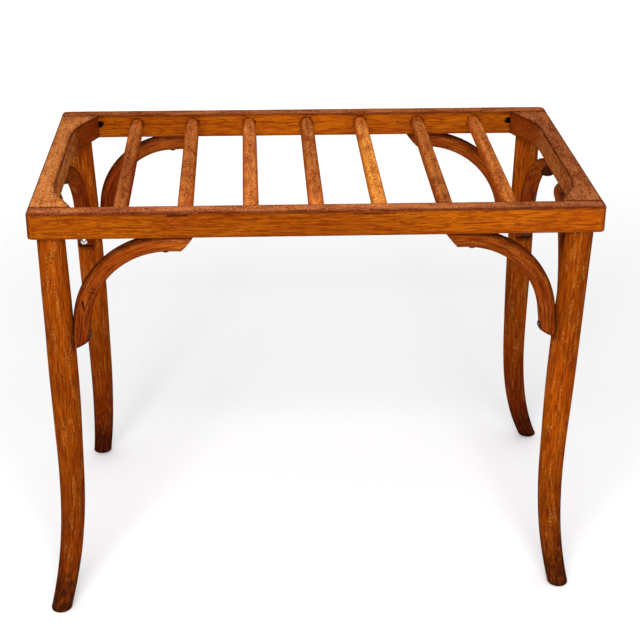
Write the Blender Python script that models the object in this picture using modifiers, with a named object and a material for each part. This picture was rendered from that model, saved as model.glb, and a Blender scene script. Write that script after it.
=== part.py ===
"""A bentwood luggage rack: a jointed top frame with turned spindles, on four bent legs with bent brackets.

Lengths are in metres. +Z is up and the floor is z = 0. +X runs along the long rails, and the front rail
is on the -Y side. The origin is on the floor under the middle of the rack's bounding box. The feet set
that box, and each leg is bent a little differently, so the top frame's middle lies a few mm from it.
"""

import math
from bisect import bisect_right
from typing import NamedTuple

import bmesh
import bpy
import numpy as np
from mathutils import Matrix, Vector

# Top frame
FRAME_LENGTH = 0.740
FRAME_DEPTH = 0.448
RACK_HEIGHT = 0.590
RAIL_HEIGHT = 0.0345
RAIL_THICKNESS = 0.026
CORNER_RADIUS = 0.009
OUTER_EDGE_ROUNDING = 0.0022
INNER_EDGE_ROUNDING = 0.0008

# End rails: wide blocks at both ends, which take the legs, swept in to a slim middle
END_RAIL_WIDTH = 0.025
END_BLOCK_WIDTH = 0.055
END_SWEEP_LENGTH = 0.100
SWEEP_HOLLOW_REACH = 0.050
SWEEP_SHOULDER_REACH = 0.035
SWEEP_SHOULDER_SLOPE = 0.36
SWEEP_STEPS = 9

# Spindles
SPINDLE_PLACES_FRONT = (-0.2550, -0.1709, -0.0859, -0.0004, 0.0823, 0.1679, 0.2534)
SPINDLE_PLACES_REAR = (-0.2565, -0.1724, -0.0862, 0.0009, 0.0832, 0.1704, 0.2573)
SPINDLE_DROP = 0.0150
SPINDLE_RADIUS = 0.0106
SPINDLE_NECK_RADIUS = 0.0091
SPINDLE_NECK_LENGTH = 0.050
SPINDLE_NECK_TAPER = ((0.35, 0.45), (0.70, 0.90))
SPINDLE_TENON_LENGTH = 0.014
SPINDLE_TENON_CHAMFER = 0.001

# Legs: the inward bow and the diameter are given at shares of the drop from the frame to the floor
LEG_INSET_Y = 0.0200
LEG_BOW = ((0.0, 0.0), (0.3, 0.0045), (0.6, 0.0074), (0.8, 0.0076), (1.0, 0.0074))
LEG_BOW_DEPTH_RATIO = 1.3
LEG_DIAMETER = ((0.0, 0.0365), (0.2, 0.0386), (0.4, 0.0394), (0.6, 0.0356), (0.8, 0.0328), (1.0, 0.0290))
FLARE_START = 0.6
FLARE_POWER = 2.7
LEG_TENON_RADIUS = 0.010
LEG_TENON_LENGTH = 0.0145
FOOT_ROUNDING = 0.0030
LEG_RINGS = 17

# Brackets
BRACKET_RADIUS = 0.0120
BRACKET_TURN = math.radians(83.0)
SHORT_BRACKET_DROP = 0.1690
SHORT_BRACKET_REACH = 0.142
SHORT_BEND_RADIUS = 0.120
BRACKET_RAIL_FLAT = 0.0010
BRACKET_LEG_FLAT = 0.0060
BRACKET_UPPER_BEVEL = math.radians(50.0)
BRACKET_LOWER_BEVEL = math.radians(26.0)
LEFT_SHORT_BRACKET_INSET = 0.0135
RIGHT_SHORT_BRACKET_INSET = 0.0190
BRACKET_ARC_STEPS = 11

# Screws
SCREW_HEAD_RADIUS = 0.0052
SCREW_HEAD_HEIGHT = 0.0030
SCREW_SHANK_RADIUS = 0.0022
SCREW_LENGTH = 0.032
SCREW_POINT_LENGTH = 0.006
SCREW_SLOT_WIDTH = 0.0013
SCREW_SLOT_DEPTH = 0.0014
SCREW_SEAT_DEPTH = 0.0016
LEG_SCREW_FROM_TIP = 0.0160
RAIL_SCREW_FROM_TIP = 0.038

# Corner dowels and the open bore beside each end rail
DOWEL_RADIUS = 0.004
DOWEL_LENGTH = 0.030
DOWEL_CHAMFER = 0.0010
DOWEL_DROP = 0.010
DOWEL_INSETS = (0.013, 0.038)
OPEN_BORE_RADIUS = 0.0045
OPEN_BORE_DEPTH = 0.012
OPEN_BORE_OFFSET = 0.001
OPEN_BORE_DROP = 0.014

# Clearances
SEAT_GAP = 0.0003
BORE_GAP = 0.0003
BORE_BOTTOM_GAP = 0.0005

# How far a bent rod runs past the place where it is sawn off
TRIM_ALLOWANCE = 0.015

# Facets
CORNER_STEPS = 5
EDGE_STEPS = 2
SCREW_HEAD_STEPS = 3
ROD_BEVEL_RESOLUTION = 5
LEG_BEVEL_RESOLUTION = 6
BORE_SIDES = 12
SMALL_BORE_SIDES = 10
SPINDLE_STEPS = 14
SCREW_STEPS = 10
SMOOTH_ANGLE = math.radians(32.0)

# Places worked out from the sizes above
HALF_LENGTH = FRAME_LENGTH / 2
HALF_DEPTH = FRAME_DEPTH / 2
UNDERSIDE = RACK_HEIGHT - RAIL_HEIGHT
RAIL_INNER = HALF_DEPTH - RAIL_THICKNESS
SPINDLE_HEIGHT = RACK_HEIGHT - SPINDLE_DROP

SIDES = {"left": -1, "right": 1}
ENDS = {"front": -1, "rear": 1}


class Corner(NamedTuple):
    """One corner of the rack. side is the sign of its x and end the sign of its y.

    The legs and brackets were bent by hand, so each corner has sizes of its own. inset is how far the leg's
    axis stands in from the frame's end, lean how far the leg leans in x and y from frame to floor, and flare
    how far its foot is bent out beyond that. The long bracket reaches along the rail by long_bracket_reach
    and down the leg by long_bracket_drop.
    """

    side: int
    end: int
    inset: float
    lean: tuple
    flare: tuple
    long_bracket_reach: float
    long_bracket_drop: float
    long_bend_radius: float


CORNERS = {
    "front_left": Corner(-1, -1, 0.0279, (-0.0068, -0.0076), (0.0215, 0.0303), 0.162, 0.1590, 0.120),
    "front_right": Corner(1, -1, 0.0294, (-0.0012, 0.0170), (0.0200, 0.0215), 0.155, 0.1560, 0.120),
    "rear_left": Corner(-1, 1, 0.0238, (0.0090, -0.0160), (0.0130, 0.0385), 0.154, 0.1590, 0.1015),
    "rear_right": Corner(1, 1, 0.0257, (0.0121, 0.0207), (0.0359, 0.0286), 0.169, 0.1620, 0.129),
}


def clear_scene():
    for obj in list(bpy.data.objects):
        bpy.data.objects.remove(obj, do_unlink=True)


def new_collection(name):
    collection = bpy.data.collections.new(name)
    bpy.context.scene.collection.children.link(collection)
    return collection


def surface_material(name, colour, roughness, metallic=0.0):
    material = bpy.data.materials.new(name)
    material.use_nodes = True
    shader = material.node_tree.nodes["Principled BSDF"]
    shader.inputs["Base Color"].default_value = (*colour, 1.0)
    shader.inputs["Roughness"].default_value = roughness
    shader.inputs["Metallic"].default_value = metallic
    return material


def mesh_from(name, bm):
    bmesh.ops.recalc_face_normals(bm, faces=bm.faces)
    mesh = bpy.data.meshes.new(name)
    bm.to_mesh(mesh)
    bm.free()
    return mesh


def add_part(name, mesh, material):
    """A visible sub-part. Its mesh may be shared with its copies."""
    if not mesh.materials:
        mesh.materials.append(material)
    mesh.shade_smooth()
    mesh.set_sharp_from_angle(angle=SMOOTH_ANGLE)
    obj = bpy.data.objects.new(name, mesh)
    rack.objects.link(obj)
    return obj


def add_cutter(name, bm):
    cutter = bpy.data.objects.new(name, mesh_from(name, bm))
    cutter.hide_render = True
    cutter.display_type = "WIRE"
    cutters.objects.link(cutter)
    return cutter


def cut(obj, bm):
    """Takes the solids in bm away from the object, and splits the faces that this leaves into even triangles."""
    modifier = obj.modifiers.new("bores", "BOOLEAN")
    modifier.operation = "DIFFERENCE"
    modifier.solver = "EXACT"
    modifier.object = add_cutter(obj.name + "_bores", bm)
    facets = obj.modifiers.new("facets", "TRIANGULATE")
    facets.quad_method = "BEAUTY"
    facets.ngon_method = "BEAUTY"


def add_bore(bm, start, end, radius, sides=SMALL_BORE_SIDES):
    """A cylinder from start to end, to cut with. Its flat sides, not its corners, stand at the radius."""
    axis = end - start
    radius = radius / math.cos(math.pi / sides)
    turn = axis.to_track_quat("Z", "Y").to_matrix().to_4x4()
    place = Matrix.Translation((start + end) / 2) @ turn
    bmesh.ops.create_cone(
        bm, cap_ends=True, segments=sides, radius1=radius, radius2=radius, depth=axis.length, matrix=place
    )


def evaluated_bmesh(obj):
    """The object as its modifiers or its curve settings make it, with the curve's caps welded on."""
    bpy.context.view_layer.update()
    graph = bpy.context.evaluated_depsgraph_get()
    mesh = bpy.data.meshes.new_from_object(obj.evaluated_get(graph))
    bm = bmesh.new()
    bm.from_mesh(mesh)
    bmesh.ops.remove_doubles(bm, verts=bm.verts, dist=1e-6)
    bmesh.ops.transform(bm, matrix=obj.matrix_world, verts=bm.verts)
    bpy.data.objects.remove(obj, do_unlink=True)
    bpy.data.meshes.remove(mesh)
    return bm


def board(outline, bottom, top):
    """A flat outline, given anticlockwise, extruded from bottom to top."""
    curve = bpy.data.curves.new("outline", "CURVE")
    curve.dimensions = "2D"
    curve.fill_mode = "BOTH"
    curve.extrude = (top - bottom) / 2
    spline = curve.splines.new("POLY")
    spline.points.add(len(outline) - 1)
    for point, (x, y) in zip(spline.points, outline):
        point.co = (x, y, 0, 1)
    spline.use_cyclic_u = True
    flat = bpy.data.objects.new("outline", curve)
    flat.location.z = (top + bottom) / 2
    cutters.objects.link(flat)
    bm = evaluated_bmesh(flat)
    bmesh.ops.dissolve_limit(bm, angle_limit=math.radians(1.0), verts=bm.verts, edges=bm.edges)
    return bm


def rod(points, radii, resolution):
    """A round rod along the points, with filled ends."""
    curve = bpy.data.curves.new("rod", "CURVE")
    curve.dimensions = "3D"
    curve.bevel_depth = 1.0
    curve.bevel_resolution = resolution
    curve.use_fill_caps = True
    spline = curve.splines.new("POLY")
    spline.points.add(len(points) - 1)
    for control, point, radius in zip(spline.points, points, radii):
        control.co = (*point, 1)
        control.radius = radius
    path = bpy.data.objects.new("rod", curve)
    cutters.objects.link(path)
    return evaluated_bmesh(path)


def trim(bm, point, outward, within=lambda place: True):
    """Saws off what lies beyond the plane, among the faces within the region, and closes the cut."""
    faces = [face for face in bm.faces if all(within(vert.co) for vert in face.verts)]
    edges = {edge for face in faces for edge in face.edges}
    verts = {vert for face in faces for vert in face.verts}
    bmesh.ops.bisect_plane(
        bm, geom=[*verts, *edges, *faces], plane_co=point, plane_no=outward, clear_outer=True, dist=1e-7
    )
    open_edges = [edge for edge in bm.edges if edge.is_boundary]
    bmesh.ops.holes_fill(bm, edges=open_edges, sides=0)


def smooth_through(stations, place):
    """The value at a place on the smooth curve through the (place, value) stations."""
    places = [station[0] for station in stations]
    values = [station[1] for station in stations]
    slopes = np.gradient(values, places)
    i = min(max(bisect_right(places, place) - 1, 0), len(places) - 2)
    step = places[i + 1] - places[i]
    f = (place - places[i]) / step
    start = values[i] * (1 + 2 * f) * (1 - f) ** 2 + slopes[i] * step * f * (1 - f) ** 2
    end = values[i + 1] * f * f * (3 - 2 * f) - slopes[i + 1] * step * f * f * (1 - f)
    return start + end


def arc(centre, radius, start, end, steps):
    angles = np.linspace(start, end, steps + 1)
    return [(centre[0] + radius * math.cos(a), centre[1] + radius * math.sin(a)) for a in angles]


def round_edges(bm, amount, wanted):
    """Rounds the sharp edges whose middle passes the test."""
    sharp = [
        edge
        for edge in bm.edges
        if edge.calc_face_angle(0) > math.radians(60) and wanted((edge.verts[0].co + edge.verts[1].co) / 2)
    ]
    bmesh.ops.bevel(bm, geom=sharp, offset=amount, segments=EDGE_STEPS, profile=0.5, affect="EDGES")


def is_level(place):
    return abs(place.z - RACK_HEIGHT) < 1e-5 or abs(place.z - UNDERSIDE) < 1e-5


# Legs


def leg_share(z):
    """The share of the leg's drop that lies above this height."""
    return (UNDERSIDE - z) / UNDERSIDE


def leg_centre(corner, z):
    """The leg bows in towards the middle of the rack, then flares out again to its foot."""
    share = leg_share(z)
    bow = smooth_through(LEG_BOW, share)
    spread = (max(share - FLARE_START, 0.0) / (1 - FLARE_START)) ** FLARE_POWER
    x = HALF_LENGTH - corner.inset - bow + spread * corner.flare[0]
    y = HALF_DEPTH - LEG_INSET_Y - bow * LEG_BOW_DEPTH_RATIO + spread * corner.flare[1]
    return Vector((corner.side * x + corner.lean[0] * share, corner.end * y + corner.lean[1] * share, z))


def leg_radius(z):
    return smooth_through(LEG_DIAMETER, leg_share(z)) / 2


def leg_mesh(corner):
    heights = np.linspace(UNDERSIDE + TRIM_ALLOWANCE, -TRIM_ALLOWANCE, LEG_RINGS)
    points = [leg_centre(corner, z) for z in heights]
    bm = rod(points, [leg_radius(z) for z in heights], LEG_BEVEL_RESOLUTION)
    trim(bm, Vector((0, 0, 0)), Vector((0, 0, -1)))
    shoulder = UNDERSIDE - SEAT_GAP
    trim(bm, Vector((0, 0, shoulder)), Vector((0, 0, 1)))
    rim = [edge for edge in bm.edges if all(abs(vert.co.z) < 1e-6 for vert in edge.verts)]
    bmesh.ops.bevel(bm, geom=rim, offset=FOOT_ROUNDING, segments=EDGE_STEPS, profile=0.5, affect="EDGES")
    add_leg_tenon(bm, shoulder)
    return mesh_from("leg", bm)


def add_leg_tenon(bm, shoulder):
    """Draws the shoulder in to the tenon's size and pulls the tenon up from it."""
    top = max(bm.faces, key=lambda face: face.calc_center_median().z)
    inset = leg_radius(shoulder) - LEG_TENON_RADIUS
    bmesh.ops.inset_individual(bm, faces=[top], thickness=inset, use_even_offset=True)
    raised = bmesh.ops.extrude_face_region(bm, geom=[top])
    bmesh.ops.delete(bm, geom=[top], context="FACES_ONLY")
    verts = [item for item in raised["geom"] if isinstance(item, bmesh.types.BMVert)]
    bmesh.ops.translate(bm, verts=verts, vec=(0, 0, LEG_TENON_LENGTH + SEAT_GAP))


def add_leg_mortise(bm, corner):
    centre = leg_centre(corner, UNDERSIDE)
    start = Vector((centre.x, centre.y, UNDERSIDE - RAIL_HEIGHT))
    stop = Vector((centre.x, centre.y, UNDERSIDE + LEG_TENON_LENGTH + BORE_BOTTOM_GAP))
    add_bore(bm, start, stop, LEG_TENON_RADIUS + BORE_GAP, BORE_SIDES)


# Spindles


def spindle_ends(index):
    """Where the spindle's axis meets the inner faces of the front rail and the rear rail."""
    front = Vector((SPINDLE_PLACES_FRONT[index], -RAIL_INNER, SPINDLE_HEIGHT))
    rear = Vector((SPINDLE_PLACES_REAR[index], RAIL_INNER, SPINDLE_HEIGHT))
    return front, rear


def spindle_mesh():
    """Turned about +Z, with its middle at the origin."""
    half = RAIL_INNER + SPINDLE_TENON_LENGTH
    swell = SPINDLE_RADIUS - SPINDLE_NECK_RADIUS
    outer_side = [
        (0.0, half),
        (SPINDLE_NECK_RADIUS - SPINDLE_TENON_CHAMFER, half),
        (SPINDLE_NECK_RADIUS, half - SPINDLE_TENON_CHAMFER),
        (SPINDLE_NECK_RADIUS, RAIL_INNER),
    ]
    for along, share in (*SPINDLE_NECK_TAPER, (1.0, 1.0)):
        outer_side.append((SPINDLE_NECK_RADIUS + swell * share, RAIL_INNER - SPINDLE_NECK_LENGTH * along))
    lower_side = [(radius, -z) for radius, z in reversed(outer_side)]
    return turned_mesh("spindle", outer_side + lower_side, SPINDLE_STEPS)


def turned_mesh(name, profile, steps):
    """A profile of (radius, height), top to bottom down its outer side, turned about the Z axis."""
    outline = bpy.data.meshes.new(name)
    verts = [(radius, 0, z) for radius, z in profile]
    outline.from_pydata(verts, [(i, i + 1) for i in range(len(verts) - 1)], [])
    obj = bpy.data.objects.new(name, outline)
    cutters.objects.link(obj)
    screw = obj.modifiers.new("turn", "SCREW")
    screw.axis = "Z"
    screw.angle = 2 * math.pi
    screw.steps = steps
    screw.render_steps = steps
    screw.use_merge_vertices = True
    screw.merge_threshold = 1e-5
    return mesh_from(name, evaluated_bmesh(obj))


def build_spindles():
    mesh = spindle_mesh()
    for index in range(len(SPINDLE_PLACES_FRONT)):
        front, rear = spindle_ends(index)
        spindle = add_part(f"spindle_{index + 1}", mesh, spindle_wood)
        spindle.location = (front + rear) / 2
        spindle.rotation_mode = "QUATERNION"
        spindle.rotation_quaternion = (rear - front).to_track_quat("Z", "X")


# Rails


def add_spindle_mortises(bm, end):
    for index in range(len(SPINDLE_PLACES_FRONT)):
        front, rear = spindle_ends(index)
        along = (rear - front).normalized() * end
        mouth = rear if end > 0 else front
        stop = mouth + along * (SPINDLE_TENON_LENGTH + BORE_BOTTOM_GAP)
        add_bore(bm, mouth - along * RAIL_THICKNESS, stop, SPINDLE_NECK_RADIUS + BORE_GAP, BORE_SIDES)


def dowel_centre(corner, inset):
    x = corner.side * (HALF_LENGTH - inset)
    return Vector((x, corner.end * RAIL_INNER, RACK_HEIGHT - DOWEL_DROP))


def add_dowel_bores(bm, corner):
    """Each bore runs past the joint face on both sides, so that both rails take the same cut."""
    half = Vector((0, DOWEL_LENGTH / 2 + BORE_BOTTOM_GAP, 0))
    for inset in DOWEL_INSETS:
        centre = dowel_centre(corner, inset)
        add_bore(bm, centre - half, centre + half, DOWEL_RADIUS + BORE_GAP)


def add_open_bore(bm, corner):
    """The bore in the long rail's inner face that the end rail only half covers."""
    x = corner.side * (HALF_LENGTH - END_BLOCK_WIDTH - OPEN_BORE_OFFSET)
    z = RACK_HEIGHT - OPEN_BORE_DROP
    start = Vector((x, corner.end * (RAIL_INNER - OPEN_BORE_DEPTH), z))
    stop = Vector((x, corner.end * (RAIL_INNER + OPEN_BORE_DEPTH), z))
    add_bore(bm, start, stop, OPEN_BORE_RADIUS)


def long_rail_outline(end):
    """Plan of a long rail: square on the inside, with the frame's two rounded corners outside."""
    half = HALF_LENGTH - CORNER_RADIUS
    depth = HALF_DEPTH - CORNER_RADIUS
    right = arc((half, depth), CORNER_RADIUS, 0, math.pi / 2, CORNER_STEPS)
    left = arc((-half, depth), CORNER_RADIUS, math.pi / 2, math.pi, CORNER_STEPS)
    points = [(HALF_LENGTH, RAIL_INNER), *right, *left, (-HALF_LENGTH, RAIL_INNER)]
    if end > 0:
        return points
    return [(x, -y) for x, y in reversed(points)]


def build_long_rail(name, end):
    bm = board(long_rail_outline(end), UNDERSIDE, RACK_HEIGHT)
    round_edges(bm, OUTER_EDGE_ROUNDING, lambda place: is_level(place) and end * place.y > RAIL_INNER + 1e-5)
    round_edges(bm, INNER_EDGE_ROUNDING, lambda place: is_level(place) and end * place.y < RAIL_INNER + 1e-5)
    rail = add_part(name, mesh_from(name, bm), rail_wood)
    bores = bmesh.new()
    add_spindle_mortises(bores, end)
    for corner in CORNERS.values():
        if corner.end == end:
            add_leg_mortise(bores, corner)
            add_dowel_bores(bores, corner)
            add_open_bore(bores, corner)
            add_screw_shank_bore(bores, *Bracket(corner, True).rail_screw())
    cut(rail, bores)


def end_rail_outline(side):
    """Plan of an end rail, with its outer side straight and its inner side swept in."""
    stop = RAIL_INNER - SEAT_GAP
    block = HALF_LENGTH - END_BLOCK_WIDTH
    middle = HALF_LENGTH - END_RAIL_WIDTH
    hollow = RAIL_INNER - END_SWEEP_LENGTH
    handles = (
        (middle, hollow),
        (middle, hollow + SWEEP_HOLLOW_REACH),
        (block + SWEEP_SHOULDER_REACH * SWEEP_SHOULDER_SLOPE, RAIL_INNER - SWEEP_SHOULDER_REACH),
        (block, stop),
    )
    sweep = [bezier(handles, t) for t in np.linspace(0, 1, SWEEP_STEPS + 1)]
    inner = [(x, -y) for x, y in reversed(sweep)] + sweep
    points = [(HALF_LENGTH, -stop), (HALF_LENGTH, stop), *reversed(inner)]
    if side > 0:
        return points
    return [(-x, y) for x, y in reversed(points)]


def bezier(handles, t):
    weights = ((1 - t) ** 3, 3 * t * (1 - t) ** 2, 3 * t * t * (1 - t), t**3)
    x = sum(weight * handle[0] for weight, handle in zip(weights, handles))
    y = sum(weight * handle[1] for weight, handle in zip(weights, handles))
    return x, y


def build_end_rail(name, side):
    bm = board(end_rail_outline(side), UNDERSIDE, RACK_HEIGHT)
    face = HALF_LENGTH - 1e-5
    joint = RAIL_INNER - SEAT_GAP - 1e-5
    round_edges(bm, OUTER_EDGE_ROUNDING, lambda place: is_level(place) and side * place.x > face)
    round_edges(
        bm,
        INNER_EDGE_ROUNDING,
        lambda place: is_level(place) and side * place.x < face - OUTER_EDGE_ROUNDING and abs(place.y) < joint,
    )
    rail = add_part(name, mesh_from(name, bm), end_rail_wood)
    bores = bmesh.new()
    for corner in CORNERS.values():
        if corner.side == side:
            add_leg_mortise(bores, corner)
            add_dowel_bores(bores, corner)
            add_screw_shank_bore(bores, *Bracket(corner, False).rail_screw())
    cut(rail, bores)


# Brackets


class Bracket:
    """A quarter-round rod in the upright plane through its leg's axis and its place under the rail.

    In that plane u is the distance from the leg's face and w the distance below the rails.
    """

    def __init__(self, corner, is_long):
        self.corner = corner
        self.reach = corner.long_bracket_reach if is_long else SHORT_BRACKET_REACH
        self.drop = corner.long_bracket_drop if is_long else SHORT_BRACKET_DROP
        self.bend = corner.long_bend_radius if is_long else SHORT_BEND_RADIUS
        foot = UNDERSIDE - self.drop + BRACKET_RADIUS
        centre = leg_centre(corner, foot)
        leg = leg_radius(foot)
        target = centre.copy()
        if is_long:
            target.x -= corner.side * (leg + self.reach)
            target.y = corner.end * (HALF_DEPTH - RAIL_THICKNESS / 2)
        else:
            inset = LEFT_SHORT_BRACKET_INSET if corner.side < 0 else RIGHT_SHORT_BRACKET_INSET
            target.x = corner.side * (HALF_LENGTH - inset)
            target.y -= corner.end * (leg + self.reach)
        self.along = (target - centre).normalized()
        self.face = centre + self.along * (leg + SEAT_GAP)
        self.rail_w = BRACKET_RADIUS - BRACKET_RAIL_FLAT
        self.foot_u = BRACKET_RADIUS - BRACKET_LEG_FLAT
        turn_w = self.rail_w + self.bend * (1 - math.cos(BRACKET_TURN))
        turn_u = self.foot_u + (self.drop - turn_w) / math.tan(BRACKET_TURN)
        self.bend_u = turn_u + self.bend * math.sin(BRACKET_TURN)

    def point(self, u, w):
        place = self.face + self.along * u
        place.z = UNDERSIDE - w
        return place

    def direction(self, u, w):
        return self.along * u + Vector((0, 0, -w))

    def centreline(self):
        bend_w = self.rail_w + self.bend
        path = [(self.reach + TRIM_ALLOWANCE, self.rail_w)]
        for turn in np.linspace(0, BRACKET_TURN, BRACKET_ARC_STEPS + 1):
            u = self.bend_u - self.bend * math.sin(turn)
            path.append((u, bend_w - self.bend * math.cos(turn)))
        over = self.drop + TRIM_ALLOWANCE
        path.append((self.foot_u - TRIM_ALLOWANCE / math.tan(BRACKET_TURN), over))
        return [self.point(u, w) for u, w in path]

    def leg_screw(self):
        """The seat under the head of the screw into the leg, and the way the screw points."""
        w = self.drop - LEG_SCREW_FROM_TIP
        centre_u = self.foot_u + LEG_SCREW_FROM_TIP / math.tan(BRACKET_TURN)
        u = centre_u + BRACKET_RADIUS / math.sin(BRACKET_TURN) - SCREW_SEAT_DEPTH
        return self.point(u, w), self.direction(-1, 0)

    def rail_screw(self):
        """The seat under the head of the screw into the rail, and the way the screw points."""
        u = self.reach - RAIL_SCREW_FROM_TIP
        turn = math.asin(max(self.bend_u - u, 0.0) / self.bend)
        centre_w = self.rail_w + self.bend * (1 - math.cos(turn))
        w = centre_w + BRACKET_RADIUS / math.cos(turn) - SCREW_SEAT_DEPTH
        return self.point(u, w), self.direction(0, -1)

    def leg_face_normal(self):
        """Out of the bracket and square to the leg's side, which slopes a little over the seat."""
        low = UNDERSIDE - self.drop
        high = low + 2 * BRACKET_RADIUS
        run = leg_centre(self.corner, high) - leg_centre(self.corner, low)
        run += self.along * (leg_radius(high) - leg_radius(low))
        normal = run.cross(self.along).cross(run).normalized()
        return -normal if normal.dot(self.along) > 0 else normal

    def mesh(self):
        path = self.centreline()
        bm = rod(path, [BRACKET_RADIUS] * len(path), ROD_BEVEL_RESOLUTION)
        trim(bm, self.point(0, SEAT_GAP), Vector((0, 0, 1)))
        trim(bm, self.face, self.leg_face_normal())
        lower = self.direction(math.sin(BRACKET_LOWER_BEVEL), math.cos(BRACKET_LOWER_BEVEL))
        trim(bm, self.point(0, self.drop), lower)
        upper = self.direction(math.sin(BRACKET_UPPER_BEVEL), math.cos(BRACKET_UPPER_BEVEL))
        floor = UNDERSIDE - self.bend / 2
        trim(bm, self.point(self.reach, 0), upper, lambda place: place.z > floor)
        return mesh_from("bracket", bm)


def add_screw_bores(bm, seat, along):
    """Room for the head in front of its seat, and the shank's hole behind it."""
    add_bore(bm, seat, seat - along * BRACKET_RADIUS, SCREW_HEAD_RADIUS + BORE_GAP, BORE_SIDES)
    add_bore(bm, seat - along * SEAT_GAP, seat + along * SCREW_LENGTH, SCREW_SHANK_RADIUS + BORE_GAP)


def add_screw_shank_bore(bm, seat, along):
    stop = seat + along * (SCREW_LENGTH + BORE_BOTTOM_GAP)
    add_bore(bm, seat, stop, SCREW_SHANK_RADIUS + BORE_GAP)


def screw_mesh():
    """A round-headed wood screw, its head on +Z and the head's underside at the origin."""
    head = arc((0, 0), 1.0, math.pi / 2, 0, SCREW_HEAD_STEPS)
    profile = [(x * SCREW_HEAD_RADIUS, SEAT_GAP + z * SCREW_HEAD_HEIGHT) for x, z in head]
    profile.append((SCREW_SHANK_RADIUS, SEAT_GAP))
    profile.append((SCREW_SHANK_RADIUS, SCREW_POINT_LENGTH - SCREW_LENGTH))
    profile.append((0.0, -SCREW_LENGTH))
    profile[0] = (0.0, profile[0][1])
    obj = bpy.data.objects.new("screw", turned_mesh("screw", profile, SCREW_STEPS))
    cutters.objects.link(obj)
    slot = bmesh.new()
    bmesh.ops.create_cube(slot, size=1.0)
    size = (SCREW_SLOT_WIDTH, 2 * (SCREW_HEAD_RADIUS + BORE_GAP), 2 * SCREW_SLOT_DEPTH)
    bmesh.ops.scale(slot, vec=size, verts=slot.verts)
    bmesh.ops.translate(slot, vec=(0, 0, SEAT_GAP + SCREW_HEAD_HEIGHT), verts=slot.verts)
    cut(obj, slot)
    return mesh_from("screw", evaluated_bmesh(obj))


def place_screw(name, mesh, seat, along):
    screw = add_part(name, mesh, screw_steel)
    screw.location = seat
    screw.rotation_mode = "QUATERNION"
    screw.rotation_quaternion = (-along).to_track_quat("Z", "Y")


def build_corner(corner_name, corner, shared_screw, shared_dowel):
    leg = add_part(f"{corner_name}_leg", leg_mesh(corner), leg_wood)
    leg_bores = bmesh.new()
    for kind in ("long", "short"):
        bracket = Bracket(corner, kind == "long")
        name = f"{corner_name}_{kind}_bracket"
        piece = add_part(name, bracket.mesh(), bracket_wood)
        bores = bmesh.new()
        add_screw_bores(bores, *bracket.leg_screw())
        add_screw_bores(bores, *bracket.rail_screw())
        cut(piece, bores)
        add_screw_shank_bore(leg_bores, *bracket.leg_screw())
        place_screw(f"{name}_leg_screw", shared_screw, *bracket.leg_screw())
        place_screw(f"{name}_rail_screw", shared_screw, *bracket.rail_screw())
    cut(leg, leg_bores)
    for place, inset in zip(("outer", "inner"), DOWEL_INSETS):
        dowel = add_part(f"{corner_name}_{place}_dowel", shared_dowel, dowel_wood)
        dowel.location = dowel_centre(corner, inset)
        dowel.rotation_euler.x = math.pi / 2


def dowel_mesh():
    half = DOWEL_LENGTH / 2
    outer_side = [(0.0, half), (DOWEL_RADIUS - DOWEL_CHAMFER, half), (DOWEL_RADIUS, half - DOWEL_CHAMFER)]
    lower_side = [(radius, -z) for radius, z in reversed(outer_side)]
    return turned_mesh("dowel", outer_side + lower_side, SCREW_STEPS)


def centre_on_origin():
    """Moves everything so that the middle of the rack's bounding box stands over the origin."""
    bpy.context.view_layer.update()
    boxes = [obj.matrix_world @ Vector(point) for obj in rack.objects for point in obj.bound_box]
    low = np.min(boxes, axis=0)
    high = np.max(boxes, axis=0)
    middle = Vector((low + high) / 2)
    for obj in [*rack.objects, *cutters.objects]:
        obj.location.x -= middle.x
        obj.location.y -= middle.y


clear_scene()
rack = new_collection("luggage_rack")
cutters = new_collection("cutters")

rail_wood = surface_material("rail_wood", (0.42, 0.13, 0.020), 0.38)
end_rail_wood = surface_material("end_rail_wood", (0.38, 0.13, 0.030), 0.42)
spindle_wood = surface_material("spindle_wood", (0.45, 0.15, 0.028), 0.38)
leg_wood = surface_material("leg_wood", (0.34, 0.11, 0.018), 0.40)
bracket_wood = surface_material("bracket_wood", (0.30, 0.085, 0.015), 0.38)
dowel_wood = surface_material("dowel_wood", (0.55, 0.33, 0.16), 0.60)
screw_steel = surface_material("screw_steel", (0.55, 0.54, 0.52), 0.32, metallic=1.0)

for end_name, end_sign in ENDS.items():
    build_long_rail(f"{end_name}_rail", end_sign)
for side_name, side_sign in SIDES.items():
    build_end_rail(f"{side_name}_end_rail", side_sign)
build_spindles()
common_screw = screw_mesh()
common_dowel = dowel_mesh()
for name, corner in CORNERS.items():
    build_corner(name, corner, common_screw, common_dowel)
centre_on_origin()
cutters.hide_render = True
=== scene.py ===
"""Dresses the bentwood luggage rack: finer wood pieces over the CAD frame, shellacked wood, a pale floor
and soft studio light. Lengths are in metres, +Z is up, and the front rail is on the -Y side.
"""

import math
from bisect import bisect_right
from typing import NamedTuple

import bmesh
import bpy
import numpy as np
from mathutils import Matrix, Vector, noise


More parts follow.
